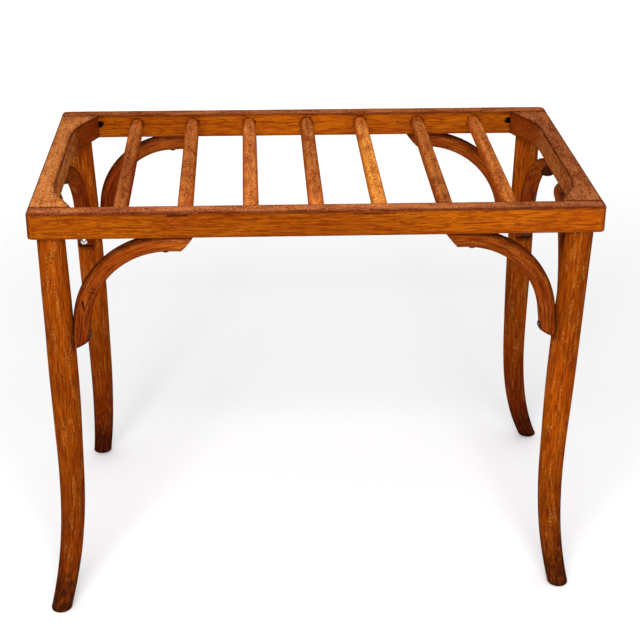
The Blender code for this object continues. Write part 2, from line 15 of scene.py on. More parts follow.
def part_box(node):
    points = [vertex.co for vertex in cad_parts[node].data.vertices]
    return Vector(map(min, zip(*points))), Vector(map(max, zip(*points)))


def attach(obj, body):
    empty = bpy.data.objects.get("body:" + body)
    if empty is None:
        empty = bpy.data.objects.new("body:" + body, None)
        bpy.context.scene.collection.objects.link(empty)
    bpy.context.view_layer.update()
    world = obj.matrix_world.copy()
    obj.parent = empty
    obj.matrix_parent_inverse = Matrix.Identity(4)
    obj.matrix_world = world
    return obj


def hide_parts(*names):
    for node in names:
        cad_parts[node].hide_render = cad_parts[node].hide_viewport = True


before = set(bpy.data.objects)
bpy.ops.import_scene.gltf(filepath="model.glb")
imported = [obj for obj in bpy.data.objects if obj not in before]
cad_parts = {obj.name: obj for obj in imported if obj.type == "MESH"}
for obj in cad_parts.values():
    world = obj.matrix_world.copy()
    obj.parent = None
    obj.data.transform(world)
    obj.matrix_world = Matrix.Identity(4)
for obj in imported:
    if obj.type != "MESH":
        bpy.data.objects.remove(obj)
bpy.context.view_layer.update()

# Sizes shared with the CAD model
FRAME_LENGTH = 0.740
FRAME_DEPTH = 0.448
RACK_HEIGHT = 0.590
RAIL_HEIGHT = 0.0345
RAIL_THICKNESS = 0.026
CORNER_RADIUS = 0.009
OUTER_EDGE_ROUNDING = 0.0022
LOWER_EDGE_ROUNDING = 0.0011
INNER_EDGE_ROUNDING = 0.0008
END_RAIL_WIDTH = 0.025
END_BLOCK_WIDTH = 0.055
END_SWEEP_LENGTH = 0.100
SWEEP_HOLLOW_REACH = 0.050
SWEEP_SHOULDER_REACH = 0.035
SWEEP_SHOULDER_SLOPE = 0.36
SPINDLE_PLACES_FRONT = (-0.2550, -0.1709, -0.0859, -0.0004, 0.0823, 0.1679, 0.2534)
SPINDLE_PLACES_REAR = (-0.2565, -0.1724, -0.0862, 0.0009, 0.0832, 0.1704, 0.2573)
SPINDLE_DROP = 0.0150
SPINDLE_RADIUS = 0.0106
SPINDLE_NECK_RADIUS = 0.0091
SPINDLE_NECK_LENGTH = 0.050
SPINDLE_TENON_LENGTH = 0.014
LEG_INSET_Y = 0.0200
LEG_BOW = ((0.0, 0.0), (0.3, 0.0045), (0.6, 0.0074), (0.8, 0.0076), (1.0, 0.0074))
LEG_BOW_DEPTH_RATIO = 1.3
LEG_DIAMETER = ((0.0, 0.0365), (0.2, 0.0386), (0.4, 0.0394), (0.6, 0.0356), (0.8, 0.0328), (1.0, 0.0290))
FLARE_START = 0.6
FLARE_POWER = 2.7
LEG_TENON_RADIUS = 0.010
LEG_TENON_LENGTH = 0.0145
FOOT_ROUNDING = 0.0030
BRACKET_RADIUS = 0.0120
BRACKET_TURN = math.radians(83.0)
SHORT_BRACKET_DROP = 0.1690
SHORT_BRACKET_REACH = 0.142
SHORT_BEND_RADIUS = 0.120
BRACKET_RAIL_FLAT = 0.0010
BRACKET_LEG_FLAT = 0.0060
BRACKET_UPPER_BEVEL = math.radians(50.0)
BRACKET_LOWER_BEVEL = math.radians(26.0)
LEFT_SHORT_BRACKET_INSET = 0.0135
RIGHT_SHORT_BRACKET_INSET = 0.0190
SCREW_HEAD_RADIUS = 0.0052
SCREW_HEAD_HEIGHT = 0.0030
SCREW_SHANK_RADIUS = 0.0022
SCREW_LENGTH = 0.032
SCREW_POINT_LENGTH = 0.006
SCREW_SLOT_WIDTH = 0.0013
SCREW_SLOT_DEPTH = 0.0014
SCREW_SEAT_DEPTH = 0.0016
SCREW_CROWN_RADIUS = 0.0004
SCREW_POINT_RADIUS = 0.0002
LEG_SCREW_FROM_TIP = 0.0160
RAIL_SCREW_FROM_TIP = 0.038
OPEN_BORE_RADIUS = 0.0045
OPEN_BORE_DEPTH = 0.012
OPEN_BORE_OFFSET = 0.001
OPEN_BORE_DROP = 0.014
SEAT_GAP = 0.0003
BORE_GAP = 0.0003
BORE_BOTTOM_GAP = 0.0005

# How finely the dressed pieces are meshed
CORNER_STEPS = 8
OUTER_EDGE_STEPS = 4
INNER_EDGE_STEPS = 2
SWEEP_STEPS = 28
BORE_SIDES = 32
BOARD_GRID = 0.005
LEG_SIDES = 48
LEG_RING_STEP = 0.005
BRACKET_SIDES = 40
BRACKET_RING_STEP = 0.004
SPINDLE_SIDES = 40
SPINDLE_RING_STEP = 0.006
SCREW_SIDES = 28
TRIM_ALLOWANCE = 0.015
SMOOTH_ANGLE = math.radians(35.0)
SAME_PLACE = 1e-5

# Where the boards are cut for fine shading: insets from the frame's outer side, and drops from its top
LONG_RAIL_INSETS = (0.0032, 0.0045, 0.007, 0.012, 0.018, 0.0225, 0.0245)
END_RAIL_INSETS = (0.0032, 0.0045, 0.008, 0.013, 0.018, 0.0215, 0.0240, 0.030, 0.036, 0.042, 0.048)
BOARD_DROPS = (0.0012, 0.0032, 0.0048, 0.008, 0.013, 0.019, 0.025, 0.0295)

# How uneven the old wood is
WAVE_DEPTH = 0.00016
DENT_DEPTH = 0.0005
LONG_RAIL_RUB = 0.00018
END_RAIL_RUB = 0.00015
SPINDLE_WAVER = 0.0003
LEG_WAVER = 0.00045
BRACKET_WAVER = 0.0003
SPINDLE_CHAMFER = 0.0008
SAWN_EDGE_ROUNDING = 0.0006
SLOT_RIM_ROUNDING = 0.00012

# Places worked out from the sizes above
HALF_LENGTH = FRAME_LENGTH / 2
HALF_DEPTH = FRAME_DEPTH / 2
UNDERSIDE = RACK_HEIGHT - RAIL_HEIGHT
RAIL_INNER = HALF_DEPTH - RAIL_THICKNESS
SPINDLE_HEIGHT = RACK_HEIGHT - SPINDLE_DROP
OPEN_BORE_PLACE = HALF_LENGTH - END_BLOCK_WIDTH - OPEN_BORE_OFFSET
OPEN_BORE_HEIGHT = RACK_HEIGHT - OPEN_BORE_DROP
SCREW_HEAD_TOP = SEAT_GAP + SCREW_HEAD_HEIGHT


class Corner(NamedTuple):
    """One corner of the rack. side is the sign of its x and end the sign of its y."""

    side: int
    end: int
    inset: float
    lean: tuple
    flare: tuple
    long_bracket_reach: float
    long_bracket_drop: float
    long_bend_radius: float


CORNERS = {
    "front_left": Corner(-1, -1, 0.0279, (-0.0068, -0.0076), (0.0215, 0.0303), 0.162, 0.1590, 0.120),
    "front_right": Corner(1, -1, 0.0294, (-0.0012, 0.0170), (0.0200, 0.0215), 0.155, 0.1560, 0.120),
    "rear_left": Corner(-1, 1, 0.0238, (0.0090, -0.0160), (0.0130, 0.0385), 0.154, 0.1590, 0.1015),
    "rear_right": Corner(1, 1, 0.0257, (0.0121, 0.0207), (0.0359, 0.0286), 0.169, 0.1620, 0.129),
}


def frame_middle():
    """The middle of the top frame, which the CAD model sets a few mm from its origin."""
    front_low, front_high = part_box("front_rail")
    _, rear_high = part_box("rear_rail")
    return Vector(((front_low.x + front_high.x) / 2, (front_low.y + rear_high.y) / 2, 0.0))


HOME = frame_middle()


# Curves


def smooth_through(stations, place):
    """The value at a place on the smooth curve through the (place, value) stations."""
    places = [station[0] for station in stations]
    values = [station[1] for station in stations]
    slopes = np.gradient(values, places)
    i = min(max(bisect_right(places, place) - 1, 0), len(places) - 2)
    step = places[i + 1] - places[i]
    f = (place - places[i]) / step
    start = values[i] * (1 + 2 * f) * (1 - f) ** 2 + slopes[i] * step * f * (1 - f) ** 2
    end = values[i + 1] * f * f * (3 - 2 * f) - slopes[i + 1] * step * f * f * (1 - f)
    return start + end


def bezier(handles, t):
    weights = ((1 - t) ** 3, 3 * t * (1 - t) ** 2, 3 * t * t * (1 - t), t**3)
    x = sum(weight * handle[0] for weight, handle in zip(weights, handles))
    y = sum(weight * handle[1] for weight, handle in zip(weights, handles))
    return x, y


def arc(centre, radius, start, end, steps):
    angles = np.linspace(start, end, steps + 1)
    return [(centre[0] + radius * math.cos(a), centre[1] + radius * math.sin(a)) for a in angles]


def fade(value, low, high):
    """0 below low, 1 above high and smooth between. low may be the larger."""
    share = np.clip((value - low) / (high - low), 0.0, 1.0)
    return share * share * (3 - 2 * share)


def ripple(places, scale, seed):
    """Smooth noise from -1 to 1 at each place."""
    shift = Vector((seed * 7.31, seed * 3.17, seed * 5.73))
    stretch = Vector(scale)
    return np.array([noise.noise(Vector(place) * stretch + shift) for place in places])


def waver(spot):
    """Smooth noise from 0 to 1."""
    return 0.5 + 0.5 * noise.noise(Vector(spot))


def turns_round(sides):
    return np.arange(sides) * 2 * math.pi / sides


# Mesh helpers


def loft(rings):
    """A closed tube through rings of equal length, each a list of points."""
    bm = bmesh.new()
    rows = [[bm.verts.new(point) for point in ring] for ring in rings]
    for upper, lower in zip(rows, rows[1:]):
        for i in range(len(upper)):
            j = (i + 1) % len(upper)
            bm.faces.new((upper[i], upper[j], lower[j], lower[i]))
    bm.faces.new(rows[0])
    bm.faces.new(rows[-1])
    bmesh.ops.recalc_face_normals(bm, faces=bm.faces)
    return bm


def board(outline, bottom, top):
    """A flat outline, given anticlockwise, extruded from bottom to top."""
    bm = bmesh.new()
    lower = [bm.verts.new((x, y, bottom)) for x, y in outline]
    base = bm.faces.new(lower)
    raised = bmesh.ops.extrude_face_region(bm, geom=[base])
    verts = [item for item in raised["geom"] if isinstance(item, bmesh.types.BMVert)]
    bmesh.ops.translate(bm, verts=verts, vec=(0, 0, top - bottom))
    bmesh.ops.recalc_face_normals(bm, faces=bm.faces)
    return bm


def is_level(place):
    return min(abs(place.z - RACK_HEIGHT), abs(place.z - UNDERSIDE)) < SAME_PLACE


def round_edges(bm, amount, steps, wanted):
    """Rounds the sharp edges of a board's top and underside whose middle passes the test."""
    sharp = []
    for edge in bm.edges:
        middle = (edge.verts[0].co + edge.verts[1].co) / 2
        if edge.calc_face_angle(0) > math.radians(60) and is_level(middle) and wanted(middle):
            sharp.append(edge)
    bmesh.ops.bevel(bm, geom=sharp, offset=amount, segments=steps, profile=0.5, affect="EDGES")


def slice_across(bm, axis, places):
    """Cuts the faces along planes square to an axis, so that they can be shaped and shaded finely."""
    normal = Vector((0, 0, 0))
    normal[axis] = 1
    for place in places:
        point = Vector((0, 0, 0))
        point[axis] = place
        bmesh.ops.bisect_plane(
            bm, geom=[*bm.verts, *bm.edges, *bm.faces], plane_co=point, plane_no=normal, dist=1e-6
        )


def trim(bm, point, outward, within=lambda place: True):
    """Saws off what lies beyond the plane, among the faces within the region, and closes the cut."""
    faces = [face for face in bm.faces if all(within(vert.co) for vert in face.verts)]
    edges = {edge for face in faces for edge in face.edges}
    verts = {vert for face in faces for vert in face.verts}
    bmesh.ops.bisect_plane(
        bm, geom=[*verts, *edges, *faces], plane_co=point, plane_no=outward, clear_outer=True, dist=1e-7
    )
    open_edges = [edge for edge in bm.edges if edge.is_boundary]
    bmesh.ops.holes_fill(bm, edges=open_edges, sides=0)


def add_bore(bm, start, end, radius):
    """A cylinder from start to end, to cut with."""
    axis = end - start
    turn = axis.to_track_quat("Z", "Y").to_matrix().to_4x4()
    place = Matrix.Translation((start + end) / 2) @ turn
    sizes = {"radius1": radius, "radius2": radius, "depth": axis.length, "segments": BORE_SIDES}
    bmesh.ops.create_cone(bm, cap_ends=True, matrix=place, **sizes)


def take_away(bm, bores):
    """The mesh with the solids in bores taken away."""
    solid = bpy.data.objects.new("solid", bpy.data.meshes.new("solid"))
    cutter = bpy.data.objects.new("cutter", bpy.data.meshes.new("cutter"))
    for obj, source in ((solid, bm), (cutter, bores)):
        source.to_mesh(obj.data)
        source.free()
        bpy.context.scene.collection.objects.link(obj)
    modifier = solid.modifiers.new("bores", "BOOLEAN")
    modifier.operation = "DIFFERENCE"
    modifier.solver = "EXACT"
    modifier.object = cutter
    bpy.context.view_layer.update()
    mesh = bpy.data.meshes.new_from_object(solid.evaluated_get(bpy.context.evaluated_depsgraph_get()))
    result = bmesh.new()
    result.from_mesh(mesh)
    bpy.data.meshes.remove(mesh)
    for obj in (solid, cutter):
        data = obj.data
        bpy.data.objects.remove(obj)
        bpy.data.meshes.remove(data)
    return result


def places_of(bm):
    return np.array([vert.co[:] for vert in bm.verts])


def push(bm, amounts):
    """Moves each point out along its normal by its own amount."""
    bm.normal_update()
    for vert, amount in zip(bm.verts, amounts):
        vert.co += vert.normal * float(amount)


def add_piece(node, bm, material, slot, grain, **shares):
    """Puts a finished piece in the scene in place of its CAD node.

    grain holds each point's place in the wood: along the fibres, and two ways across them. The shares are
    numbers for each point, or one for all of them: wear, which darkens edges, grime, which darkens with dirt
    and with painted shade, tone, which lightens the wood and in places carries painted light and shade,
    fresh, how much shellac the top still has, and the painted sheen, how far a side is painted as pale as a
    top.
    """
    name = f"{node}_{slot.split('_')[-1]}"
    mesh = bpy.data.meshes.new(name)
    bm.to_mesh(mesh)
    bm.free()
    count = len(mesh.vertices)
    layer = mesh.attributes.new("grain", "FLOAT_VECTOR", "POINT")
    layer.data.foreach_set("vector", np.asarray(grain, np.float32).reshape(-1))
    for label in ("wear", "grime", "tone", "fresh", "painted_sheen"):
        layer = mesh.attributes.new(label, "FLOAT", "POINT")
        values = np.asarray(shares.get(label, 0.0), np.float32)
        layer.data.foreach_set("value", np.broadcast_to(values, (count,)).copy())
    mesh.materials.append(material)
    mesh.shade_smooth()
    mesh.set_sharp_from_angle(angle=SMOOTH_ANGLE)
    obj = bpy.data.objects.new(name, mesh)
    obj.location = HOME
    bpy.context.scene.collection.objects.link(obj)
    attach(obj, "root")
    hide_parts(node)


# Materials

# How much brighter the light shows a colour than it is
LIGHT_GAIN = 1.7
# The share of a mark's half width that has its full strength
MARK_CORE = 0.4


class Shading:
    """Builds one material's nodes."""

    def __init__(self, name):
        self.material = bpy.data.materials.new(name)
        self.material.use_nodes = True
        self.tree = self.material.node_tree
        self.shader = self.tree.nodes["Principled BSDF"]

    def add(self, kind, inputs=(), **settings):
        node = self.tree.nodes.new("ShaderNode" + kind)
        for key, value in settings.items():
            setattr(node, key, value)
        for key, value in dict(inputs).items():
            self.put(node.inputs[key], value)
        return node

    def put(self, socket, value):
        if isinstance(value, bpy.types.NodeSocket):
            self.tree.links.new(value, socket)
        else:
            socket.default_value = value

    def attribute(self, name, output="Fac"):
        return self.add("Attribute", attribute_name=name).outputs[output]

    def math(self, operation, first, second=0.0):
        return self.add("Math", {0: first, 1: second}, operation=operation).outputs[0]

    def times(self, first, second):
        return self.math("MULTIPLY", first, second)

    def plus(self, first, second):
        return self.math("ADD", first, second)

    def vector(self, operation, *inputs):
        node = self.add("VectorMath", enumerate(inputs), operation=operation)
        return node.outputs["Value" if operation in ("LENGTH", "DOT_PRODUCT") else "Vector"]

    def remap(self, value, low, high, to_low=0.0, to_high=1.0):
        inputs = {"Value": value, "From Min": low, "From Max": high, "To Min": to_low, "To Max": to_high}
        return self.add("MapRange", inputs, interpolation_type="SMOOTHSTEP").outputs[0]

    def mix(self, share, first, second):
        node = self.add("Mix", data_type="RGBA")
        sockets = {socket.identifier: socket for socket in node.inputs}
        self.put(sockets["Factor_Float"], share)
        self.put(sockets["A_Color"], first)
        self.put(sockets["B_Color"], second)
        return next(socket for socket in node.outputs if socket.identifier == "Result_Color")

    def stretched(self, vector, scale, offset=(0.0, 0.0, 0.0)):
        return self.add("Mapping", {"Vector": vector, "Scale": scale, "Location": offset}).outputs[0]

    def noise(self, vector, scale, detail=2.0, roughness=0.5, offset=(0.0, 0.0, 0.0)):
        """Noise from about 0.25 to 0.75, stretched by the scale."""
        place = self.stretched(vector, scale, offset)
        inputs = {"Vector": place, "Scale": 1.0, "Detail": detail, "Roughness": roughness}
        return self.add("TexNoise", inputs).outputs["Fac"]

    def cells(self, vector, scale, feature="DISTANCE_TO_EDGE"):
        inputs = {"Vector": self.stretched(vector, scale), "Scale": 1.0}
        return self.add("TexVoronoi", inputs, feature=feature).outputs["Distance"]

    def bump(self, height, distance, strength=1.0, below=None):
        inputs = {"Height": height, "Distance": distance, "Strength": strength}
        if below is not None:
            inputs["Normal"] = below
        return self.add("Bump", inputs).outputs[0]

    def marks(self, places, marks):
        """1 on the dents and scratches, each a line in the grain's space with a half width and a strength.

        A line is two points, and a coordinate that is None in both is left out of the distance from it.
        """
        found = 0.0
        for start, end, half_width, strength in marks:
            counted = [float(value is not None) for value in start]
            start = Vector([value or 0.0 for value in start])
            run = Vector([value or 0.0 for value in end]) - start
            way = run.normalized()
            away = self.vector("SUBTRACT", self.vector("MULTIPLY", places, counted), start)
            along = self.math("MAXIMUM", self.vector("DOT_PRODUCT", away, way), 0.0)
            along = self.math("MINIMUM", along, run.length)
            nearest = self.add("VectorMath", {0: way, "Scale": along}, operation="SCALE").outputs[0]
            off = self.vector("LENGTH", self.vector("SUBTRACT", away, nearest))
            mark = self.remap(off, half_width, MARK_CORE * half_width, 0.0, strength)
            found = self.math("MAXIMUM", mark, found)
        return found


def rgb(red, green, blue):
    """A colour given as the photograph shows it, from 0 to 255, made linear and freed of the light's gain."""
    linear = []
    for value in (red, green, blue):
        share = value / 255
        share = share / 12.92 if share <= 0.04045 else ((share + 0.055) / 1.055) ** 2.4
        linear.append(share / LIGHT_GAIN)
    return (*linear, 1.0)


class Finish(NamedTuple):
    """The colours, as rgb takes them, and the wear of one kind of wood piece. The top colours carry painted
    sheen and painted shade, and the glint share sets its painted highlights.
    """

    light: tuple
    middle: tuple
    dark: tuple
    worn_and_painted_light: tuple
    worn_dark_and_painted_light: tuple
    fleck: float
    craze: float
    painted_glint: float
    streak: float
    top_share: float
    roughness: float


def wood_material(name, finish, seed, marks=()):
    """Shellacked beech: rings, fibres and flecks along the grain, a worn and crazed upper side with painted
    sheen and shade, painted glints, and dark dirt with painted shade.
    """
    light, middle, dark, worn_and_painted_light, worn_dark_and_painted_light = (rgb(*colour) for colour in finish[:5])
    s = Shading(name)
    grain = s.attribute("grain", "Vector")
    grime = s.attribute("grime")
    tone = s.attribute("tone")

    # Rings, streaks and fine fibres
    drift = s.noise(grain, (7.0, 40.0, 40.0), 2.0, offset=(seed, 0.0, 0.0))
    sway = s.add("CombineXYZ", {"Y": s.remap(drift, 0.3, 0.7, -0.003, 0.003)}).outputs[0]
    fibres = s.vector("ADD", grain, sway)
    parts = s.add("SeparateXYZ", {0: fibres}).outputs
    across = s.add("CombineXYZ", {"Y": parts["Y"], "Z": parts["Z"]}).outputs[0]
    depth = s.times(s.vector("LENGTH", across), 260.0)
    growth = s.add("CombineXYZ", {"X": depth, "Y": parts["X"]}).outputs[0]
    rings = s.noise(growth, (1.0, 2.5, 1.0), 2.0, 0.6, offset=(seed, seed, 0.0))
    figure = s.noise(fibres, (5.0, 28.0, 28.0), 2.0, offset=(seed * 1.7, 1.0, 2.0))
    streaks = s.noise(fibres, (15.0, 480.0, 480.0), 3.0, 0.65, offset=(seed * 2.3, 3.0, 9.0))
    fine = s.noise(fibres, (40.0, 800.0, 800.0), 2.0, 0.6, offset=(seed, 7.0, 3.0))
    body = s.mix(s.remap(figure, 0.38, 0.66), middle, light)
    for pattern, low, high, share, colour in (
        (rings, 0.54, 0.36, 0.40, dark),
        (streaks, 0.50, 0.36, finish.streak, dark),
        (streaks, 0.52, 0.64, 0.8 * finish.streak, light),
        (fine, 0.51, 0.40, 0.75, dark),
        (fine, 0.53, 0.62, 0.50, light),
    ):
        body = s.mix(s.remap(pattern, low, high, 0.0, share), body, colour)

    # Short dark flecks
    dashes = s.cells(fibres, (120.0, 620.0, 620.0), "F1")
    patches = s.noise(grain, (40.0, 90.0, 90.0), 2.0, offset=(seed * 1.1, 5.0, 5.0))
    dash = s.times(s.remap(dashes, 0.32, 0.16), s.remap(patches, 0.42, 0.62))
    dash = s.times(dash, finish.fleck)
    body = s.mix(dash, body, rgb(96, 34, 6))

    # The upward faces: worn and speckled, with painted light, a pale painted sheen on rails and spindles and
    # painted shade on the brackets' upper side; and sides given the same pale painted sheen
    upward = s.add("SeparateXYZ", {0: s.add("NewGeometry").outputs["Normal"]}).outputs["Z"]
    top = s.times(s.remap(upward, 0.20, 0.98), finish.top_share)
    top = s.times(top, s.remap(s.attribute("fresh"), 0.0, 1.0, 1.0, 0.0))
    # Painted sheen: sides painted as pale as a top where a sheen would show
    painted_sheen = s.times(s.attribute("painted_sheen"), s.remap(streaks, 0.40, 0.58, 0.75, 1.0))
    top = s.math("MAXIMUM", top, painted_sheen)
    mottle = s.noise(grain, (330.0, 520.0, 520.0), 3.0, 0.7, offset=(seed, 8.0, 1.0))
    cloud = s.noise(grain, (26.0, 70.0, 70.0), 3.0, 0.6, offset=(seed * 3.1, 2.0, 6.0))
    speckle = s.plus(s.times(mottle, 0.70), s.times(cloud, 0.30))
    upper = s.mix(s.remap(speckle, 0.455, 0.535), worn_dark_and_painted_light, worn_and_painted_light)
    upper = s.mix(s.remap(streaks, 0.52, 0.36, 0.0, 0.35), upper, worn_dark_and_painted_light)
    body = s.mix(top, body, upper)

    # Cracks in the shellac, and painted glints: light specks that stand in for highlights on the crazed
    # shellac
    jitter = s.add("TexNoise", {"Vector": grain, "Scale": 260.0, "Detail": 1.0}).outputs["Color"]
    moved = s.vector("ADD", grain, s.vector("MULTIPLY", jitter, (0.0024, 0.0024, 0.0024)))
    cracks = s.cells(moved, (300.0, 480.0, 480.0))
    crazed = s.times(s.remap(cracks, 0.10, 0.02), s.remap(patches, 0.40, 0.58, 0.25, 1.0))
    crazed = s.times(crazed, finish.craze)
    body = s.mix(crazed, body, rgb(92, 38, 12))
    glint_cells = s.cells(moved, (190.0, 520.0, 520.0))
    spots = s.noise(grain, (24.0, 210.0, 210.0), 2.0, 0.6, offset=(seed * 1.9, 6.0, 4.0))
    painted_glint = s.times(s.remap(glint_cells, 0.10, 0.03), s.remap(spots, 0.54, 0.61))
    painted_glint = s.times(painted_glint, finish.painted_glint)
    body = s.mix(painted_glint, body, rgb(230, 140, 50))

    # Rubbed edges, marks, and dirt with painted shade from the grime share
    scuff = s.noise(grain, (60.0, 700.0, 700.0), 3.0, 0.65, offset=(seed, 9.0, 2.0))
    rub = s.times(s.attribute("wear"), s.remap(scuff, 0.32, 0.52, 0.50, 1.0))
    body = s.mix(rub, body, rgb(94, 34, 12))
    if marks:
        body = s.mix(s.marks(moved, marks), body, rgb(66, 24, 8))
    smear = s.noise(grain, (90.0, 260.0, 260.0), 3.0, 0.65, offset=(seed, 3.0, 7.0))
    darkening = s.remap(s.plus(grime, s.remap(smear, 0.30, 0.70, -0.22, 0.22)), 0.02, 0.80)
    darkening = s.times(darkening, s.remap(grime, 0.0, 0.12))
    body = s.mix(darkening, body, rgb(70, 29, 10))
    # Near black where the share passes 1, as only the open bores do: painted shade
    body = s.mix(s.remap(grime, 1.0, 1.4), body, rgb(16, 8, 5))
    hue = s.plus(s.remap(tone, 0.45, 0.85, 0.0, 0.012), s.remap(tone, -0.40, 0.0, 0.491, 0.5))
    shift = {"Hue": hue, "Value": s.plus(tone, 1.0), "Color": body}
    s.put(s.shader.inputs["Base Color"], s.add("HueSaturation", shift).outputs[0])

    # Gloss and relief
    rough = s.remap(smear, 0.30, 0.70, finish.roughness - 0.06, finish.roughness + 0.08)
    rough = s.plus(s.plus(rough, s.times(top, 0.06)), s.times(darkening, 0.20))
    s.put(s.shader.inputs["Roughness"], rough)
    relief = s.bump(s.plus(s.times(fine, 0.6), streaks), 0.00025)
    relief = s.bump(s.math("SUBTRACT", painted_glint, crazed), 0.00025, 1.0, relief)
    pits = s.bump(s.math("SUBTRACT", mottle, s.times(dash, 0.5)), 0.00030, 0.8, relief)
    s.put(s.shader.inputs["Normal"], pits)
    glancing = s.add("LayerWeight", {"Blend": 0.5}).outputs["Facing"]
    gloss = s.plus(s.times(painted_glint, 0.10), 0.02)
    s.put(s.shader.inputs["Coat Weight"], s.times(s.remap(glancing, 0.85, 0.35), gloss))
    s.shader.inputs["Specular IOR Level"].default_value = 0.0
    s.shader.inputs["Coat Roughness"].default_value = 0.22
    return s.material


def steel_material():
    """Old bright steel with fine scratches and dark tarnish in its slot and edges."""
    s = Shading("screw_steel_worn")
    place = s.attribute("grain", "Vector")
    cloud = s.noise(place, (400.0, 400.0, 400.0), 3.0, 0.6)
    scratch = s.noise(place, (300.0, 6000.0, 300.0), 2.0, 0.6)
    tarnish = s.remap(s.plus(s.attribute("grime"), s.remap(cloud, 0.35, 0.70, -0.3, 0.3)), 0.25, 0.9)
    colour = s.mix(s.remap(cloud, 0.35, 0.65), (0.62, 0.60, 0.57, 1.0), (0.78, 0.77, 0.75, 1.0))
    colour = s.mix(tarnish, colour, rgb(70, 48, 38))
    s.put(s.shader.inputs["Base Color"], colour)
    s.shader.inputs["Metallic"].default_value = 1.0
    s.put(s.shader.inputs["Roughness"], s.remap(s.plus(scratch, tarnish), 0.4, 1.5, 0.24, 0.6))
    s.put(s.shader.inputs["Normal"], s.bump(scratch, 0.00004))
    return s.material


# The top colours are worn wood with painted light: pale for a painted sheen on the tops of rails and
# spindles, dark for painted shade on the brackets' upper side
RAIL_FINISH = Finish(
    light=(202, 104, 10), middle=(178, 83, 8), dark=(134, 50, 5),
    worn_and_painted_light=(232, 138, 80), worn_dark_and_painted_light=(140, 64, 34),
    fleck=0.60, craze=0.15, painted_glint=0.10, streak=0.70, top_share=0.95, roughness=0.36,
)
END_RAIL_FINISH = Finish(
    light=(164, 72, 12), middle=(146, 56, 9), dark=(112, 36, 6),
    worn_and_painted_light=(252, 160, 84), worn_dark_and_painted_light=(158, 74, 34),
    fleck=0.50, craze=0.30, painted_glint=0.20, streak=0.75, top_share=1.00, roughness=0.40,
)
SPINDLE_FINISH = Finish(
    light=(210, 103, 28), middle=(188, 82, 20), dark=(136, 49, 14),
    worn_and_painted_light=(276, 170, 82), worn_dark_and_painted_light=(160, 70, 36),
    fleck=0.60, craze=0.35, painted_glint=0.25, streak=0.60, top_share=0.80, roughness=0.36,
)
LEG_FINISH = Finish(
    light=(188, 88, 8), middle=(162, 70, 6), dark=(116, 42, 4),
    worn_and_painted_light=(166, 80, 24), worn_dark_and_painted_light=(112, 48, 18),
    fleck=0.60, craze=0.30, painted_glint=0.82, streak=0.50, top_share=0.30, roughness=0.34,
)
BRACKET_FINISH = Finish(
    light=(194, 95, 22), middle=(162, 66, 12), dark=(108, 37, 8),
    worn_and_painted_light=(134, 64, 32), worn_dark_and_painted_light=(66, 24, 10),
    fleck=0.55, craze=0.25, painted_glint=0.55, streak=0.60, top_share=0.80, roughness=0.34,
)


# Top frame


def edge_nearness(z, outer, inner, reach):
    """1 at a board's long edges and 0 further than reach from them.

    outer and inner are how far each point is from the board's outer and inner side.
    """
    level = np.minimum(np.abs(z - RACK_HEIGHT), np.abs(z - UNDERSIDE))
    return fade(np.hypot(np.minimum(outer, inner), level), reach, 0.0004)


def spindle_ends(index):
    """Where the spindle's axis meets the inner faces of the front rail and the rear rail."""
    front = Vector((SPINDLE_PLACES_FRONT[index], -RAIL_INNER, SPINDLE_HEIGHT))
    rear = Vector((SPINDLE_PLACES_REAR[index], RAIL_INNER, SPINDLE_HEIGHT))
    return front, rear


def add_spindle_mortises(bm, end):
    for index in range(len(SPINDLE_PLACES_FRONT)):
        front, rear = spindle_ends(index)
        along = (rear - front).normalized() * end
        mouth = rear if end > 0 else front
        stop = mouth + along * (SPINDLE_TENON_LENGTH + BORE_BOTTOM_GAP)
        add_bore(bm, mouth - along * RAIL_THICKNESS, stop, SPINDLE_NECK_RADIUS + BORE_GAP)


def add_open_bore(bm, corner):
    """The bore in the long rail's inner face that the end rail only half covers."""
    x = corner.side * OPEN_BORE_PLACE
    start = Vector((x, corner.end * (RAIL_INNER - OPEN_BORE_DEPTH), OPEN_BORE_HEIGHT))
    stop = Vector((x, corner.end * (RAIL_INNER + OPEN_BORE_DEPTH), OPEN_BORE_HEIGHT))
    add_bore(bm, start, stop, OPEN_BORE_RADIUS)


def long_rail_outline(end):
    half = HALF_LENGTH - CORNER_RADIUS
    depth = HALF_DEPTH - CORNER_RADIUS
    right = arc((half, depth), CORNER_RADIUS, 0, math.pi / 2, CORNER_STEPS)
    left = arc((-half, depth), CORNER_RADIUS, math.pi / 2, math.pi, CORNER_STEPS)
    points = [(HALF_LENGTH, RAIL_INNER), *right, *left, (-HALF_LENGTH, RAIL_INNER)]
    if end > 0:
        return points
    return [(x, -y) for x, y in reversed(points)]


def edge_band(inset, drop, reach):
    """1 along a top edge, fading out on the top at reach from it and a little way down the side."""
    return fade(inset, reach, 0.3 * reach) * fade(drop, 0.0048, 0.0012)


def weather_board(bm, places, axis, nearness, seed, rub, free=1.0):
    """Pushes waves and dents into a board, and rubs its upper edges down.

    axis is that of its fibres, and free is 0 where it has to stay true. Returns how near each point is to
    the top.
    """
    dent_scale, wave_scale = [160.0] * 3, [30.0] * 3
    dent_scale[axis], wave_scale[axis] = 120.0, 9.0
    dents = np.clip(ripple(places, dent_scale, seed), 0.0, 1.0) ** 2
    wave = 0.5 + 0.5 * ripple(places, wave_scale, seed + 4.0)
    upper = fade(places[:, 2], RACK_HEIGHT - 0.006, RACK_HEIGHT - 0.001)
    push(bm, -free * (WAVE_DEPTH * wave + (DENT_DEPTH * dents + rub) * nearness * upper))
    return upper


